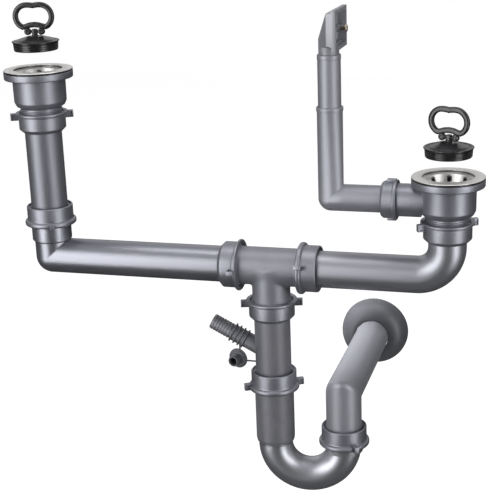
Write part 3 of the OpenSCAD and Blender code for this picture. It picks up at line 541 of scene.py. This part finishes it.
def plug_outline():
    skirt = [(SKIRT_R, 0.8, 0.4)]
    for rise in (3.0, 5.2, 7.4):
        r = SKIRT_R + 0.9 * rise / PLUG_H
        skirt += [(r, rise - 0.8, 0.2), (r - 0.45, rise - 0.4, 0.2), (r - 0.45, rise, 0.2),
                  (r, rise + 0.3, 0.2)]
    return ([(0, 7.5), (20.5, 6.5, 1), (21.5, 0, 0.8), (23.4, 0, 0.4)] + skirt
            + [(24.9, 8.9, 0.3), (PLUG_R, 9.4, 0.5), (PLUG_R, PLUG_H, 0.6), (22.9, 10.3, 0.8),
               (20.4, 11.8, 3), (9.4, 15, 6), (4.4, PLUG_H + 5, 2), (0, PLUG_H + 5)])


def wire_ring(path, across, deep, material):
    """A closed band along points in the XZ plane. across and deep are half its width and depth."""
    points = path * MM
    ahead = np.roll(points, -1, axis=0) - np.roll(points, 1, axis=0)
    ahead /= np.linalg.norm(ahead, axis=1)[:, None]
    beside = np.stack([ahead[:, 1], -ahead[:, 0]], axis=1)
    turn = np.linspace(0, math.tau, 20, endpoint=False)
    wide, thick = (np.sign(wave) * np.abs(wave) ** 0.7 for wave in (np.cos(turn), np.sin(turn)))
    flat = points[:, None] + beside[:, None] * (wide * (across * MM))[None, :, None]
    depth = np.broadcast_to(thick * deep * MM, flat.shape[:2])
    rings = np.stack([flat[..., 0], depth, flat[..., 1]], axis=2)
    return skinned(rings, rings, material)


def skinned(rings, run, material):
    """A closed skin over a closed row of rings. run gives each point's place on its own pipe."""
    count, steps = rings.shape[:2]
    mesh = bpy.data.meshes.new("skin")
    number = np.arange(count * steps).reshape(count, steps)
    after, beside = np.roll(number, -1, axis=0), np.roll(number, -1, axis=1)
    faces = np.stack([number, beside, np.roll(after, -1, axis=1), after], axis=2).reshape(-1, 4)
    mesh.from_pydata(rings.reshape(-1, 3).tolist(), [], faces.tolist())
    mesh.attributes.new("run", "FLOAT_VECTOR", "POINT").data.foreach_set("vector", run.reshape(-1))
    mesh.materials.append(material)
    return mesh


def arc(x, z, r, start, end, count):
    turn = np.radians(np.linspace(start, end, count))
    return np.stack([x + r * np.cos(turn), z + r * np.sin(turn)], axis=1)


post_foot = [(0, 15.5), (3.6, 15.5, 0.2), (3.1, 16.8, 0.3), (0, 16.8)]
PIN_Z = PLUG_H + 9.6
RING_X, RING_Z, RING_R = 7.6, PIN_Z + 16.1, 12.5
BAR_Z = PIN_Z + 6.7
for side, seat, turn in (("left", left_seat, 10), ("right", right_seat, -20)):
    foot = at(seat.translation.x / MM, 0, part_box(side + "_plug")[0].z / MM) @ facing("Z", turn)
    piece(side + "_plug", [(spun(plug_outline(), black_rubber), foot)])
    post = [(spun(post_foot, black_rubber, 48), foot),
            (bar((-2.7, -3, 15.6), (2.7, 3, PIN_Z + 2.8), black_rubber, 1.1), foot)]
    post += [(bar((-2.9, -2.2, rise), (2.9, 2.2, rise + 0.7), black_rubber, 0.3), foot)
             for rise in (16.6, 17.9)]
    piece(side + "_plug_post", post)
    # the ring: a flat-sided oval, a bar across its foot, and two eyelets whose pins turn in the post
    oval = np.concatenate([
        arc(RING_X, RING_Z, RING_R, -64, 86, 20),
        [(5.5, RING_Z + RING_R), (1.6, RING_Z + 12.1), (0, RING_Z + 11.7), (-1.6, RING_Z + 12.1),
         (-5.5, RING_Z + RING_R)],
        arc(-RING_X, RING_Z, RING_R, 94, 244, 20),
        [(-9.8, BAR_Z - 1.4), (-5, BAR_Z + 0.2), (0, BAR_Z + 0.7), (5, BAR_Z + 0.2), (9.8, BAR_Z - 1.4)]])
    ring = [(wire_ring(oval, 3, 2.5, black_rubber), foot)]
    for way in (-1, 1):
        eyelet = [(0, -2.2), (1.2, -2.2, 0.3), (1.9, -3, 0.5), (3, -2.8, 0.6), (3.8, -1.6, 1),
                  (3.8, 1.6, 1), (3, 2.8, 0.6), (1.9, 3, 0.5), (1.2, 2.2, 0.3), (0, 2.2)]
        stalk = bar((way * 8 - 1.9, -1.7, PIN_Z + 2.5), (way * 8 + 1.9, 1.7, BAR_Z), black_rubber, 0.5)
        ring += [(spun(eyelet, black_rubber, 40), foot @ at(way * RING_X, 0, PIN_Z) @ facing("X", 90)),
                 (stalk, foot),
                 (spun([(0, 0), (1.5, 0, 0.2), (1.5, 6, 0.2), (0, 6)], black_rubber, 32),
                  foot @ at(way * 0.9, 0, PIN_Z) @ facing("Y", way * 90))]
    piece(side + "_plug_ring", ring)


# --- Compression nuts ---
# Eight moulded nuts draw the joints tight. A tight nut closes on its pipe with a shallow chamfer,
# and an open one shows a deep gap round it. Each has a collar and two hollow lugs for the fingers.
NUT_SIDE, NUT_LEN, LUG_REACH = 5.4, 22, 8.8
copied, asked = empty_group(
    "row of copies", "GeometryNodeTree",
    {"Shape": "Geometry", "Copies": "Int", "Turn": "Float", "Rise": "Float", "Finish": "Material"},
    {"Geometry": "Geometry"})
rise = link(copied, "ShaderNodeCombineXYZ", {}, Z=asked["Rise"])
spots = link(copied, "GeometryNodeMeshLine", {"mode": "OFFSET"}, Count=asked["Copies"], Offset=rise)
number = link(copied, "GeometryNodeInputIndex", {})
turn_by = maths(copied, "MULTIPLY", number, asked["Turn"])
swing = link(copied, "ShaderNodeCombineXYZ", {}, Z=turn_by)
copies = link(copied, "GeometryNodeInstanceOnPoints", {}, Points=spots,
              Instance=asked["Shape"], Rotation=swing)
close_tree(copied, copies, asked["Finish"])


def lug(side_r, material):
    """A hollow box lug that stands out from a nut's side, with a pocket in each face."""
    skin = block((side_r - 1, -2.5, 0.4), (side_r + LUG_REACH, 2.5, 8.4), 0.6)
    for way in (-1, 1):
        side = max(skin.faces, key=lambda f: f.calc_center_median().y * way)
        bmesh.ops.inset_individual(skin, faces=[side], thickness=0.9 * MM, depth=0)
        bmesh.ops.inset_individual(skin, faces=[side], thickness=0.25 * MM, depth=-1.5 * MM)
    return as_mesh(skin, "lug", material)


def nut_outline(pipe_r, is_open):
    side, inside, grip = pipe_r + NUT_SIDE, pipe_r + 3.3, pipe_r + 0.3
    collar = side + 3
    if is_open:
        outside = [(collar, 0, 2.2), (collar, 5.5, 2.2), (side + 0.2, 6.1, 0.5), (side, 7.2, 0.5),
                   (side, NUT_LEN - 0.8, 0.5), (side - 0.7, NUT_LEN, 0.4), (side - 2.1, NUT_LEN, 0.5),
                   (side - 2.1, 19.8, 0.3)]
    else:
        outside = [(collar, 0, 0.9), (collar, 2.6, 0.9), (side + 0.7, 3.0, 0.4), (side + 0.7, 4.0, 0.3),
                   (side - 0.3, 4.5, 0.3), (side, 5.2, 0.3), (side, 18.2, 1.2),
                   (pipe_r + 1.4, NUT_LEN, 0.6), (grip, NUT_LEN, 0.3)]
    return [(inside + 0.6, 0, 0.3)] + outside + [(grip, 18.8, 0.3), (inside, 15.4, 0.3), (inside, 1, 0.3)]


WAYS = {"up": facing("X", 0), "down": facing("X", 180),
        "left": facing("Y", -90), "right": facing("Y", 90)}


def joint_place(node, way):
    """The place of a nut's threaded end, from its CAD box, with +Z towards its mouth."""
    low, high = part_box(node)
    spot = (low + high) / 2
    axis, end = {"up": (2, low), "down": (2, high), "left": (0, high), "right": (0, low)}[way]
    spot[axis] = end[axis]
    return Matrix.Translation(spot) @ WAYS[way]


NUTS = {"left_upper_nut": ("down", TAIL_R, False, -26), "left_lower_nut": ("up", TAIL_R, True, -63),
        "tee_left_nut": ("left", PIPE_R, False, 90), "tee_right_nut": ("right", PIPE_R, True, 72),
        "tee_lower_nut": ("down", PIPE_R, False, -16), "right_waste_nut": ("down", PIPE_R, False, -32),
        "trap_inlet_nut": ("up", PIPE_R, True, 28), "outlet_nut": ("up", PIPE_R, True, -53)}
for node, (way, pipe_r, is_open, turn) in NUTS.items():
    place = joint_place(node, way) @ facing("Z", turn)
    lugs = grown(lug(pipe_r + NUT_SIDE, moulded_grey), copied, Copies=2, Turn=math.pi, Rise=0.0,
                 Finish=moulded_grey)
    piece(node, [(spun(nut_outline(pipe_r, is_open), moulded_grey), place), (lugs, place)])


# --- Wedge seals ---
# A black rubber ring with a tapered back lies in each joint, on the end of the threaded socket. The
# nut pushes it onto the pipe, and in an open nut it shows as a dark line.
for nut_node, (way, pipe_r, *_) in NUTS.items():
    node = nut_node.replace("nut", "seal")
    inside = pipe_r + 0.05
    back = inside + 2.9
    wedge = [(inside, 0, 0.2), (back, 0, 0.3), (back, 2.2, 0.3), (inside + 0.9, 5.4, 0.2), (inside, 5.4)]
    piece(node, [(spun(wedge, black_rubber, 96), joint_place(node, way))])


# --- Left tailpipe ---
# A straight length of extruded pipe joins the left waste to the arm below. Its gloss has faint
# lines along the pipe, from the die.
def pipe_lines(tree):
    """Coordinates that run along a pipe and round it, so that the grain is drawn out lengthwise."""
    return link(tree, "ShaderNodeAttribute", {"attribute_name": "run"}).outputs["Vector"]


def pipe_grey(name, dark, light, glossy, dull, metallic=0.85):
    """A grey polypropylene with grain drawn out along the pipe."""
    return finish(name + " grey polypropylene", dark, light, glossy, dull, 0.012, 0.0012, 0.16,
                  metallic, pipe_lines)


drawn_grey = pipe_grey("extruded", (0.215, 0.22, 0.250), (0.265, 0.268, 0.297), 0.37, 0.45)
satin_grey = pipe_grey("satin", (0.185, 0.19, 0.215), (0.23, 0.233, 0.258), 0.48, 0.56)
STRETCH = 0.05
LIP, INNER_LIP = 0.5, -0.3
CIRCLE = np.linspace(0, math.tau, 96, endpoint=False)


def ring_row(rows, r, spot):
    """Adds a ring of radius r to rows. spot turns (across, deep) into a place and a length along.
    STRETCH shortens that length, which draws the grain out along the pipe."""
    across, deep = r * np.cos(CIRCLE), r * np.sin(CIRCLE)
    x, y, z, length = np.broadcast_arrays(*spot(across, deep))
    rows.append((np.stack([x, y, z], axis=1) * MM, np.stack([across, deep, length * STRETCH], axis=1) * MM))


def walled(outside, inside, material):
    rows = outside + inside[::-1]
    return skinned(np.stack([row[0] for row in rows]), np.stack([row[1] for row in rows]), material)


def straight_rows(length, r, lip):
    rows = []
    for z, cut in ((0, lip), (abs(lip), 0), (length - abs(lip), 0), (length, lip)):
        ring_row(rows, r - cut, lambda u, v: (u, v, z, z))
    return rows


def straight_pipe(length, outer, inner, material):
    return walled(straight_rows(length, outer, LIP), straight_rows(length, inner, INNER_LIP), material)


WALL = 2
low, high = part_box("left_tailpipe")
piece("left_tailpipe", [(straight_pipe((high.z - low.z) / MM, TAIL_R, TAIL_R - WALL, satin_grey),
                         at(left_seat.translation.x / MM, 0, low.z / MM))])


# --- Left arm ---
# The arm is a pipe with a mitred elbow, rounded on the outside of its corner and sharp inside, with
# a threaded socket above it for the tailpipe. It slides into the tee's left nut.
def elbow_rows(leg_in, leg_out, r_in, r_out, bend, lip, marks, heel=40):
    """Rings of a pipe that comes up from below, turns at the origin and leaves along +X. A bend of 0
    is a mitre, with its outer corner rounded to heel. marks are (place, depth) on the second leg."""
    rows = []
    far = abs(lip)

    def corner(u):
        swing = bend - u if bend else np.clip(-u, 1.2, heel)
        return swing, u + swing

    def on_corner(u, v, angle):
        swing, turned_at = corner(u)
        return (turned_at - swing * math.cos(angle), v, swing * math.sin(angle) - turned_at,
                swing * angle - turned_at)

    def on_second(u, v, x):
        swing, turned_at = corner(u)
        return x, v, -u, x - 2 * turned_at + swing * math.pi / 2

    for z, cut in ((-leg_in, lip), (far - leg_in, 0)):
        ring_row(rows, r_in - cut, lambda u, v: (u, v, z, z))
    for angle in np.linspace(0, math.pi / 2, 21):
        r = r_in + (r_out - r_in) * angle / (math.pi / 2)
        ring_row(rows, r, lambda u, v: on_corner(u, v, angle))
    for x, cut in ((bend + r_out + 2, 0), *marks, (leg_out - far, 0), (leg_out, lip)):
        ring_row(rows, r_out - cut, lambda u, v: on_second(u, v, x))
    return rows


def elbow_pipe(leg_in, leg_out, outer, wall, material, bend=0, outer_in=None, marks=(), heel=40):
    first = outer_in or outer
    return walled(elbow_rows(leg_in, leg_out, first, outer, bend, LIP, marks, heel),
                  elbow_rows(leg_in, leg_out, first - wall, outer - wall, bend, INNER_LIP, (), heel),
                  material)


def socket_outline(pipe_r, stop, end, depth=SOCKET_DEPTH):
    """The threaded end of a socket that stops the pipe in it at depth below its mouth."""
    outer, bore = pipe_r + SOCKET_WALL, pipe_r + SOCKET_GAP
    return (thread_outline(outer, end - THREAD_LEN, end, 1)
            + [(outer, end, 0.4), (bore, end, 0.4), (bore, end - depth), (stop, end - depth)])


tee_low, tee_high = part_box("tee_left_nut")
arms_z = (tee_low.z + tee_high.z) / 2 / MM
socket_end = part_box("left_arm")[1].z / MM - arms_z
BORE_R = PIPE_R - WALL
SOCKET_R = TAIL_R + SOCKET_WALL
socket = [(BORE_R, 19), (PIPE_R + 1, 19, 0.4), (SOCKET_R, 20.6, 0.8), (SOCKET_R, socket_end - THREAD_LEN)]
corner_place = at(left_seat.translation.x / MM, 0, arms_z)
reach = (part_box("left_arm")[1].x - left_seat.translation.x) / MM
piece("left_arm", [(elbow_pipe(22, reach, PIPE_R, WALL, drawn_grey), corner_place @ facing("X", 180)),
                   (spun(socket + socket_outline(TAIL_R, BORE_R, socket_end), drawn_grey), corner_place)])


# --- Tee ---
# One polypropylene moulding with three threaded sockets. The branch flows into the run through a
# soft web. The mould leaves a fine line round the middle and a gate mark in front.
TEE_R = 21
tee_low, tee_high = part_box("tee")
tee_x = (tee_low.x + tee_high.x) / 2 / MM
tee_place = at(tee_x, 0, arms_z)
STEP = 0.01
RUN_END = tee_high.x / MM - tee_x
BRANCH_END = arms_z - tee_low.z / MM


def blended(points, r, soft):
    """Moves points onto the skin of two crossing cylinders that flow into each other."""
    def height(p):
        run = np.hypot(p[:, 1], p[:, 2]) - r
        branch = np.maximum(np.hypot(p[:, 0], p[:, 1]) - r, p[:, 2])
        near = np.maximum(soft - np.abs(run - branch), 0)
        return np.minimum(run, branch) - near * near / soft / 4
    for _ in range(6):
        slope = np.stack([height(points + side) - height(points - side)
                          for side in np.eye(3) * STEP], axis=1) / (2 * STEP)
        points = points - slope * (height(points) / np.maximum((slope ** 2).sum(axis=1), 0.2))[:, None]
    return points


def tee_legs(r, soft):
    """Rings from the crease to the end of each of the three legs, where the sockets begin."""
    u, v = r * np.cos(CIRCLE), r * np.sin(CIRCLE)
    legs = []
    for way in (-1, 0, 1):
        leg = []
        for share in np.linspace(0, 1, 22) ** 1.6:
            if way:
                start = np.maximum(0, -u)
                ring = np.stack([way * (start + (RUN_END - SOCKET_DEPTH - start) * share), v, u], axis=1)
            else:
                ring = np.stack([u, v, (np.abs(u) - BRANCH_END + SOCKET_DEPTH) * share - np.abs(u)], axis=1)
            leg.append(blended(ring, r, soft) if soft and share < 1 else ring)
        legs.append(leg)
    return legs


def tee_body(material):
    skin = bmesh.new()
    for outer, inner in zip(tee_legs(TEE_R, 3), tee_legs(BORE_R, 0)):
        rows = [[skin.verts.new(point * MM) for point in ring] for ring in outer + inner[::-1]]
        for row, after in zip(rows, rows[1:]):
            for i in range(len(row)):
                skin.faces.new((row[i - 1], row[i], after[i], after[i - 1]))
    bmesh.ops.remove_doubles(skin, verts=skin.verts, dist=SAME_SPOT)
    return as_mesh(skin, "tee body", material)


dull_tee = finish("tee grey polypropylene", (0.215, 0.22, 0.247), (0.26, 0.263, 0.29), 0.53, 0.61,
                  0.03, 0.0011, 0.22, metallic=0.75)
tee_parts = [(tee_body(dull_tee), tee_place)]
for side, end in ((facing("Y", -90), RUN_END), (facing("Y", 90), RUN_END), (facing("X", 180), BRANCH_END)):
    mouth = [(BORE_R, end - SOCKET_DEPTH), (TEE_R, end - SOCKET_DEPTH), (TEE_R, end - THREAD_LEN, 0.2),
             (TEE_R + 0.9, end - THREAD_LEN + 0.1, 0.2)]
    socket = mouth + socket_outline(PIPE_R, BORE_R, end, 15.5)
    tee_parts.append((spun(socket, dull_tee), tee_place @ side))
seam = [(TEE_R - 0.5, -0.4), (TEE_R, -0.4, 0.1), (TEE_R + 0.12, 0, 0.1), (TEE_R, 0.4, 0.1),
        (TEE_R - 0.5, 0.4)]
gate = [(0, -1), (1.7, -1), (1.7, 0.2, 0.15), (1.2, 0.45, 0.15), (0.7, 0.1, 0.1), (0, 0.1)]
tee_parts += [(spun(seam, dull_tee), tee_place @ facing("Y", 90)),
              (spun(gate, dull_tee, 32), tee_place @ at(0, -TEE_R - 0.55, -2) @ facing("X", 90))]
piece("tee", tee_parts, sharp=50)


# --- Right arm ---
# A plain pipe with a swept bend, shaped warm from a straight length. It hangs from the right waste
# and slides into the tee's right nut.
pale_grey = pipe_grey("pale", (0.28, 0.285, 0.315), (0.34, 0.344, 0.372), 0.41, 0.49)
low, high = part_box("right_arm")
piece("right_arm", [(elbow_pipe(high.z / MM - arms_z, -low.x / MM, PIPE_R, WALL, pale_grey, bend=32),
                     at(0, 0, arms_z) @ facing("Y", 180))])


# --- Overflow ---
# Overflow water falls through a telescopic tube and a mitred elbow into the side of the right
# waste. A small nut with two tabs and a patch of ribs holds the elbow, and a rubber lip seals the
# tube. The moulded head has a brass screw in it, which takes a face plate through the sink's wall.
ELBOW_R, RISER_R, TUBE_R = 14.3, 13.5, 12.1
PORT_NUT_R, PORT_NUT_BORE, PORT_NUT_LEN = 19.7, 17.6, 16.5
PORT_GRIP = ELBOW_R + 0.3
port_nut_place = at(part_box("overflow_nut")[1].x / MM, 0, -PORT_DROP) @ facing("Y", -90)
port_nut = [(PORT_NUT_BORE, 0, 0.3), (PORT_NUT_R + 1.5, 0, 0.8), (PORT_NUT_R + 1.5, 3.4, 0.8),
            (PORT_NUT_R, 4.2, 0.4), (PORT_NUT_R, 13.9, 0.8), (PORT_NUT_R - 2, PORT_NUT_LEN, 0.8),
            (PORT_GRIP, PORT_NUT_LEN, 0.4), (PORT_GRIP, 12.4, 0.3), (PORT_NUT_BORE, 8.6, 0.3)]
tab = bar((PORT_NUT_R - 1, -3, 1), (PORT_NUT_R + 2.6, 3, 11), moulded_grey, 0.8)
rib = bar((PORT_NUT_R - 0.5, -0.5, 3.8), (PORT_NUT_R + 0.5, 0.5, 13.3), moulded_grey, 0.25)
tabs = grown(tab, copied, Copies=2, Turn=math.pi, Rise=0.0, Finish=moulded_grey)
ribs = grown(rib, copied, Copies=6, Turn=math.radians(12), Rise=0.0, Finish=moulded_grey)
piece("overflow_nut", [(spun(port_nut, moulded_grey), port_nut_place), (tabs, port_nut_place),
                       (ribs, port_nut_place @ facing("Z", 60))])
port_seal = [(14.35, 0), (16.75, 0, 0.2), (16.75, 1, 0.3), (15.15, 3.6, 0.2), (14.35, 3.6)]
piece("overflow_seal", [(spun(port_seal, black_rubber, 96),
                         at(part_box("overflow_seal")[1].x / MM, 0, -PORT_DROP) @ facing("Y", -90))])

riser_grey = pipe_grey("overflow", (0.25, 0.255, 0.285), (0.31, 0.314, 0.342), 0.52, 0.60, 0.75)
low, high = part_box("overflow_elbow")
riser_x = low.x / MM + ELBOW_R
riser_place = at(riser_x, 0, high.z / MM)
collar = [(TUBE_R + 0.3, -4.5), (RISER_R - 0.2, -4.5), (RISER_R + 0.6, -4.3, 0.3), (RISER_R + 0.6, 0, 0.6),
          (TUBE_R + 0.3, 0, 0.4)]
piece("overflow_elbow", [
    (elbow_pipe(high.z / MM + PORT_DROP - 0.7, high.x / MM - riser_x, ELBOW_R, 1.3, riser_grey,
                outer_in=RISER_R), at(riser_x, 0, -PORT_DROP) @ facing("X", 180)),
    (spun(collar, riser_grey), riser_place)])
lip_seal = [(12.15, -3.15, 0.3), (13.3, -3.15, 0.2), (13.3, -1.45, 0.2), (12.15, -1.45, 0.3)]
piece("overflow_tube_seal", [(spun(lip_seal, black_rubber, 96), riser_place)])
low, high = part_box("overflow_tube")
rim = [(TUBE_R - 1, -5), (TUBE_R, -5), (TUBE_R + 0.3, -4.8, 0.2), (TUBE_R + 0.3, 0, 0.4),
       (TUBE_R - 1, 0, 0.3)]
piece("overflow_tube", [
    (straight_pipe((high.z - low.z) / MM - 0.5, TUBE_R, TUBE_R - 1.1, riser_grey),
     at(riser_x, 0, low.z / MM)),
    (spun(rim, riser_grey), at(riser_x, 0, high.z / MM))])
light_grey = finish("light grey polypropylene", (0.24, 0.245, 0.268), (0.29, 0.294, 0.317), 0.45, 0.53,
                    0.02, 0.0011, 0.16, metallic=0.5)
# a lip closes the bottom of the head's recess behind its frame
head_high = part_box("overflow_head")[1] / MM
lip = bar((head_high.x - 7.6, -24.6, head_high.z - 37.4), (head_high.x - 4, 24.6, head_high.z - 36),
          light_grey)
piece("overflow_head", [(softened("overflow_head", 0.5, light_grey), Matrix()), (lip, Matrix())], sharp=32)
turned_brass = finish("turned brass", (0.31, 0.255, 0.205), (0.43, 0.365, 0.30), 0.34, 0.48,
                      0.004, 0.0008, 0.08, metallic=1.0)
piece("overflow_screw", [(softened("overflow_screw", 0.25, turned_brass), Matrix())], sharp=32)


# --- Inlet tube, hose spigot and blanking cap ---
# The tube hangs in the tee's lower nut and carries a barbed spigot for a drain hose, with four thin
# discs at its root. The spigot's cap is moulded beside it and held by two thin runners.
SPIGOT_DROP, SPIGOT_TILT, SPIGOT_BORE = 103.5, -63, 6
CAP_X, CAP_Z = -40.6, -110.8
# a darker copy of the grey: painted shade for the low pieces, the inlet tube, its spigot and the sleeve,
# where the lamps' light falls off
low_shaded_grey = pipe_grey("dark", (0.13, 0.132, 0.148), (0.17, 0.171, 0.188), 0.48, 0.58, 0.5)
low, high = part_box("inlet_tube")
spigot_place = tee_place @ at(0, 0, -SPIGOT_DROP) @ facing("Y", SPIGOT_TILT)
stem = [(SPIGOT_BORE, 17), (9.2, 17), (9.2, 50.6, 0.4), (8.5, 51.2, 0.2), (8.3, 78, 0.5),
        (SPIGOT_BORE, 78, 0.5)]
disc = spun([(8.5, 35), (11.2, 35, 0.45), (11.2, 36.4, 0.45), (8.5, 36.4)], low_shaded_grey, 64)
discs = grown(disc, copied, Copies=4, Turn=0.0, Rise=5.2 * MM, Finish=low_shaded_grey)
barb = spun([(7.5, 54.9), (9.1, 54.9, 0.2), (8.3, 57.7, 0.2), (7.5, 57.7)], low_shaded_grey, 64)
barbs = grown(barb, copied, Copies=7, Turn=0.0, Rise=3.3 * MM, Finish=low_shaded_grey)
piece("inlet_tube", [
    (straight_pipe((high.z - low.z) / MM, PIPE_R, BORE_R, low_shaded_grey), at(tee_x, 0, low.z / MM)),
    (spun(stem, low_shaded_grey, 64), spigot_place), (discs, spigot_place), (barbs, spigot_place)])

shade_grey = finish("shade grey polypropylene", (0.068, 0.07, 0.079), (0.09, 0.092, 0.102), 0.46, 0.56,
                    0.012, 0.0012, 0.16, metallic=0.35)
cap = [(0, 0), (11.4, 0, 0.4), (11.4, 2, 0.4), (9.8, 2, 0.2), (9.8, 3.2, 0.3), (6, 3.2, 0.3), (6, 13, 0.3),
       (4.5, 13, 0.3), (4.5, 2, 0.3), (0, 2)]
piece("blanking_cap", [
    (spun(cap, shade_grey, 64), tee_place @ at(CAP_X, 0, CAP_Z) @ facing("Z", -14) @ facing("X", 90)),
    (bar((CAP_X, -0.8, CAP_Z - 3.5), (0.1 - PIPE_R, 0.8, CAP_Z - 1.9), shade_grey, 0.3), tee_place),
    (bar((CAP_X + 1, -0.8, CAP_Z), (CAP_X + 2.6, 0.8, CAP_Z + 18), shade_grey, 0.3), tee_place)])


# --- Trap sleeve and U-bend ---
# Both are moulded. The sleeve slides up and down the inlet tube. The U-bend is pushed into its foot
# and holds the water that keeps the drain's smell out. Its outlet ends in a threaded socket.
SLEEVE_R, SLEEVE_BORE, FOOT_BORE = PIPE_R + SOCKET_WALL, 20.3, 19.45
sleeve_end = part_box("trap_sleeve")[1].z / MM - arms_z
sleeve = [(FOOT_BORE, -204), (SLEEVE_BORE, -204.2, 0.2), (20.4, -206.5, 0.2), (21.1, -206.5, 0.3),
          (SLEEVE_R, -202.5, 1), (SLEEVE_R, -143.5)]
sleeve += thread_outline(SLEEVE_R, sleeve_end - THREAD_LEN, sleeve_end, 1)
sleeve += [(SLEEVE_R, sleeve_end, 0.4), (SLEEVE_BORE, sleeve_end, 0.4), (SLEEVE_BORE, -198.5),
           (FOOT_BORE, -198.5)]
# the sleeve takes the darker copy of the grey, painted shade for its low place
piece("trap_sleeve", [(spun(sleeve, low_shaded_grey), tee_place)])

TRAP_R, TRAP_BEND, TRAP_Z, TRAP_TOP = 19.38, 39, -210, -197.6
FOOT_GROOVE = ((-206, 0), (-206.2, 1.2), (-208.7, 1.2), (-208.9, 0))
OUTLET = 2 * TRAP_BEND
trap_place = tee_place @ facing("Z", 7)


def trap_rows(r, lip, marks=()):
    """Rings down the inlet leg, round the bend and up into the outlet. marks are (height, depth)."""
    rows = []
    for z, cut in ((TRAP_TOP, lip), (TRAP_TOP - abs(lip), 0), *marks):
        ring_row(rows, r - cut, lambda u, v: (u, v, z, TRAP_Z - z))
    for angle in np.linspace(0, math.pi, 49):
        ring_row(rows, r, lambda u, v: (TRAP_BEND - (TRAP_BEND - u) * math.cos(angle), v,
                                        TRAP_Z - (TRAP_BEND - u) * math.sin(angle),
                                        (TRAP_BEND - u) * angle))
    ring_row(rows, r, lambda u, v: (OUTLET - u, v, TRAP_Z + 1.2, (TRAP_BEND - u) * math.pi + 1.2))
    return rows


trap_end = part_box("trap_bend")[1].z / MM - arms_z
# a paler copy of the grey: painted light on the U-bend, for the brightness on its lower curve that the
# lamps do not give
lit_bend_grey = pipe_grey("bent", (0.32, 0.325, 0.355), (0.39, 0.394, 0.422), 0.38, 0.46)
outlet = [(BORE_R, -217), (21.2, -217, 0.5), (21.2, TRAP_Z, 0.2), (SLEEVE_R, TRAP_Z + 0.2, 0.3)]
outlet += socket_outline(PIPE_R, BORE_R, trap_end, trap_end + 208.8)
piece("trap_bend", [
    (walled(trap_rows(TRAP_R, LIP, FOOT_GROOVE), trap_rows(TRAP_R - WALL, INNER_LIP), lit_bend_grey),
     trap_place),
    (spun(outlet, lit_bend_grey), trap_place @ at(OUTLET, 0, 0))])


# --- Wall pipe and rosette ---
# A mitred elbow turns the outlet to the wall. A shallow groove near its free end shows how far it
# goes into the drain, and the domed rosette slides along it to hide the hole in the wall.
dull_grey = pipe_grey("dull", (0.25, 0.255, 0.282), (0.30, 0.303, 0.33), 0.50, 0.58, 0.65)
low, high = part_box("wall_pipe")
rosette_low, rosette_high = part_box("rosette")
wall_z = (rosette_low.z + rosette_high.z) / 2 / MM
outlet_spot = trap_place @ Vector((OUTLET * MM, 0, 0))
wall_place = at(outlet_spot.x / MM, outlet_spot.y / MM, wall_z)
length = high.y / MM - outlet_spot.y / MM
groove = [(length - back, depth) for back, depth in ((27.1, 0), (27, 0.3), (26, 0.3), (25.9, 0))]
piece("wall_pipe", [(elbow_pipe(wall_z - low.z / MM, length, PIPE_R, WALL, dull_grey,
                                marks=groove, heel=7),
                     wall_place @ facing("Z", 90))])
ROSETTE_R, ROSETTE_H, ROSETTE_BORE, ROSETTE_WALL = 41.5, 25, 20.3, 1.6
DOME_R, DOME_Z = 21.9, 2
dome_out, dome_up = ROSETTE_R - DOME_R, ROSETTE_H - DOME_Z
rounding = np.radians(np.linspace(0, 90, 25))
dome = [(ROSETTE_R, 0, 0.3)]
dome += [(DOME_R + dome_out * math.cos(turn), DOME_Z + dome_up * math.sin(turn)) for turn in rounding]
dome += [(ROSETTE_BORE, ROSETTE_H, 0.4), (ROSETTE_BORE, ROSETTE_H - ROSETTE_WALL, 0.2)]
dome += [(DOME_R + (dome_out - ROSETTE_WALL) * math.cos(turn),
          DOME_Z + (dome_up - ROSETTE_WALL) * math.sin(turn)) for turn in rounding[::-1]]
dome.append((ROSETTE_R - ROSETTE_WALL, 0, 0.2))
piece("rosette", [(spun(dome, shade_grey),
                   at(outlet_spot.x / MM, rosette_high.y / MM, wall_z) @ facing("X", 90))])


FLOOR_Z = -0.58
floor_mesh = bpy.data.meshes.new("floor")
corners = [(x, y, FLOOR_Z) for x, y in ((-4, -3), (4, -3), (4, 4), (-4, 4))]
floor_mesh.from_pydata(corners, [], [(0, 1, 2, 3)])
floor = placed("floor", floor_mesh)
floor.visible_glossy = False
floor_mesh.materials.append(bpy.data.materials.new("pale floor"))
pale = bare_tree(floor_mesh.materials[0])
paint = link(pale, "ShaderNodeBsdfDiffuse", {}, Color=(0.8, 0.8, 0.8, 1))
glow = link(pale, "ShaderNodeEmission", {}, Color=(1, 1, 1, 1), Strength=1.36)
lit = mixed_shader(pale, 0.7, paint, glow)
link(pale, "ShaderNodeOutputMaterial", {}, Surface=backdrop_nodes(pale, lit, paint))
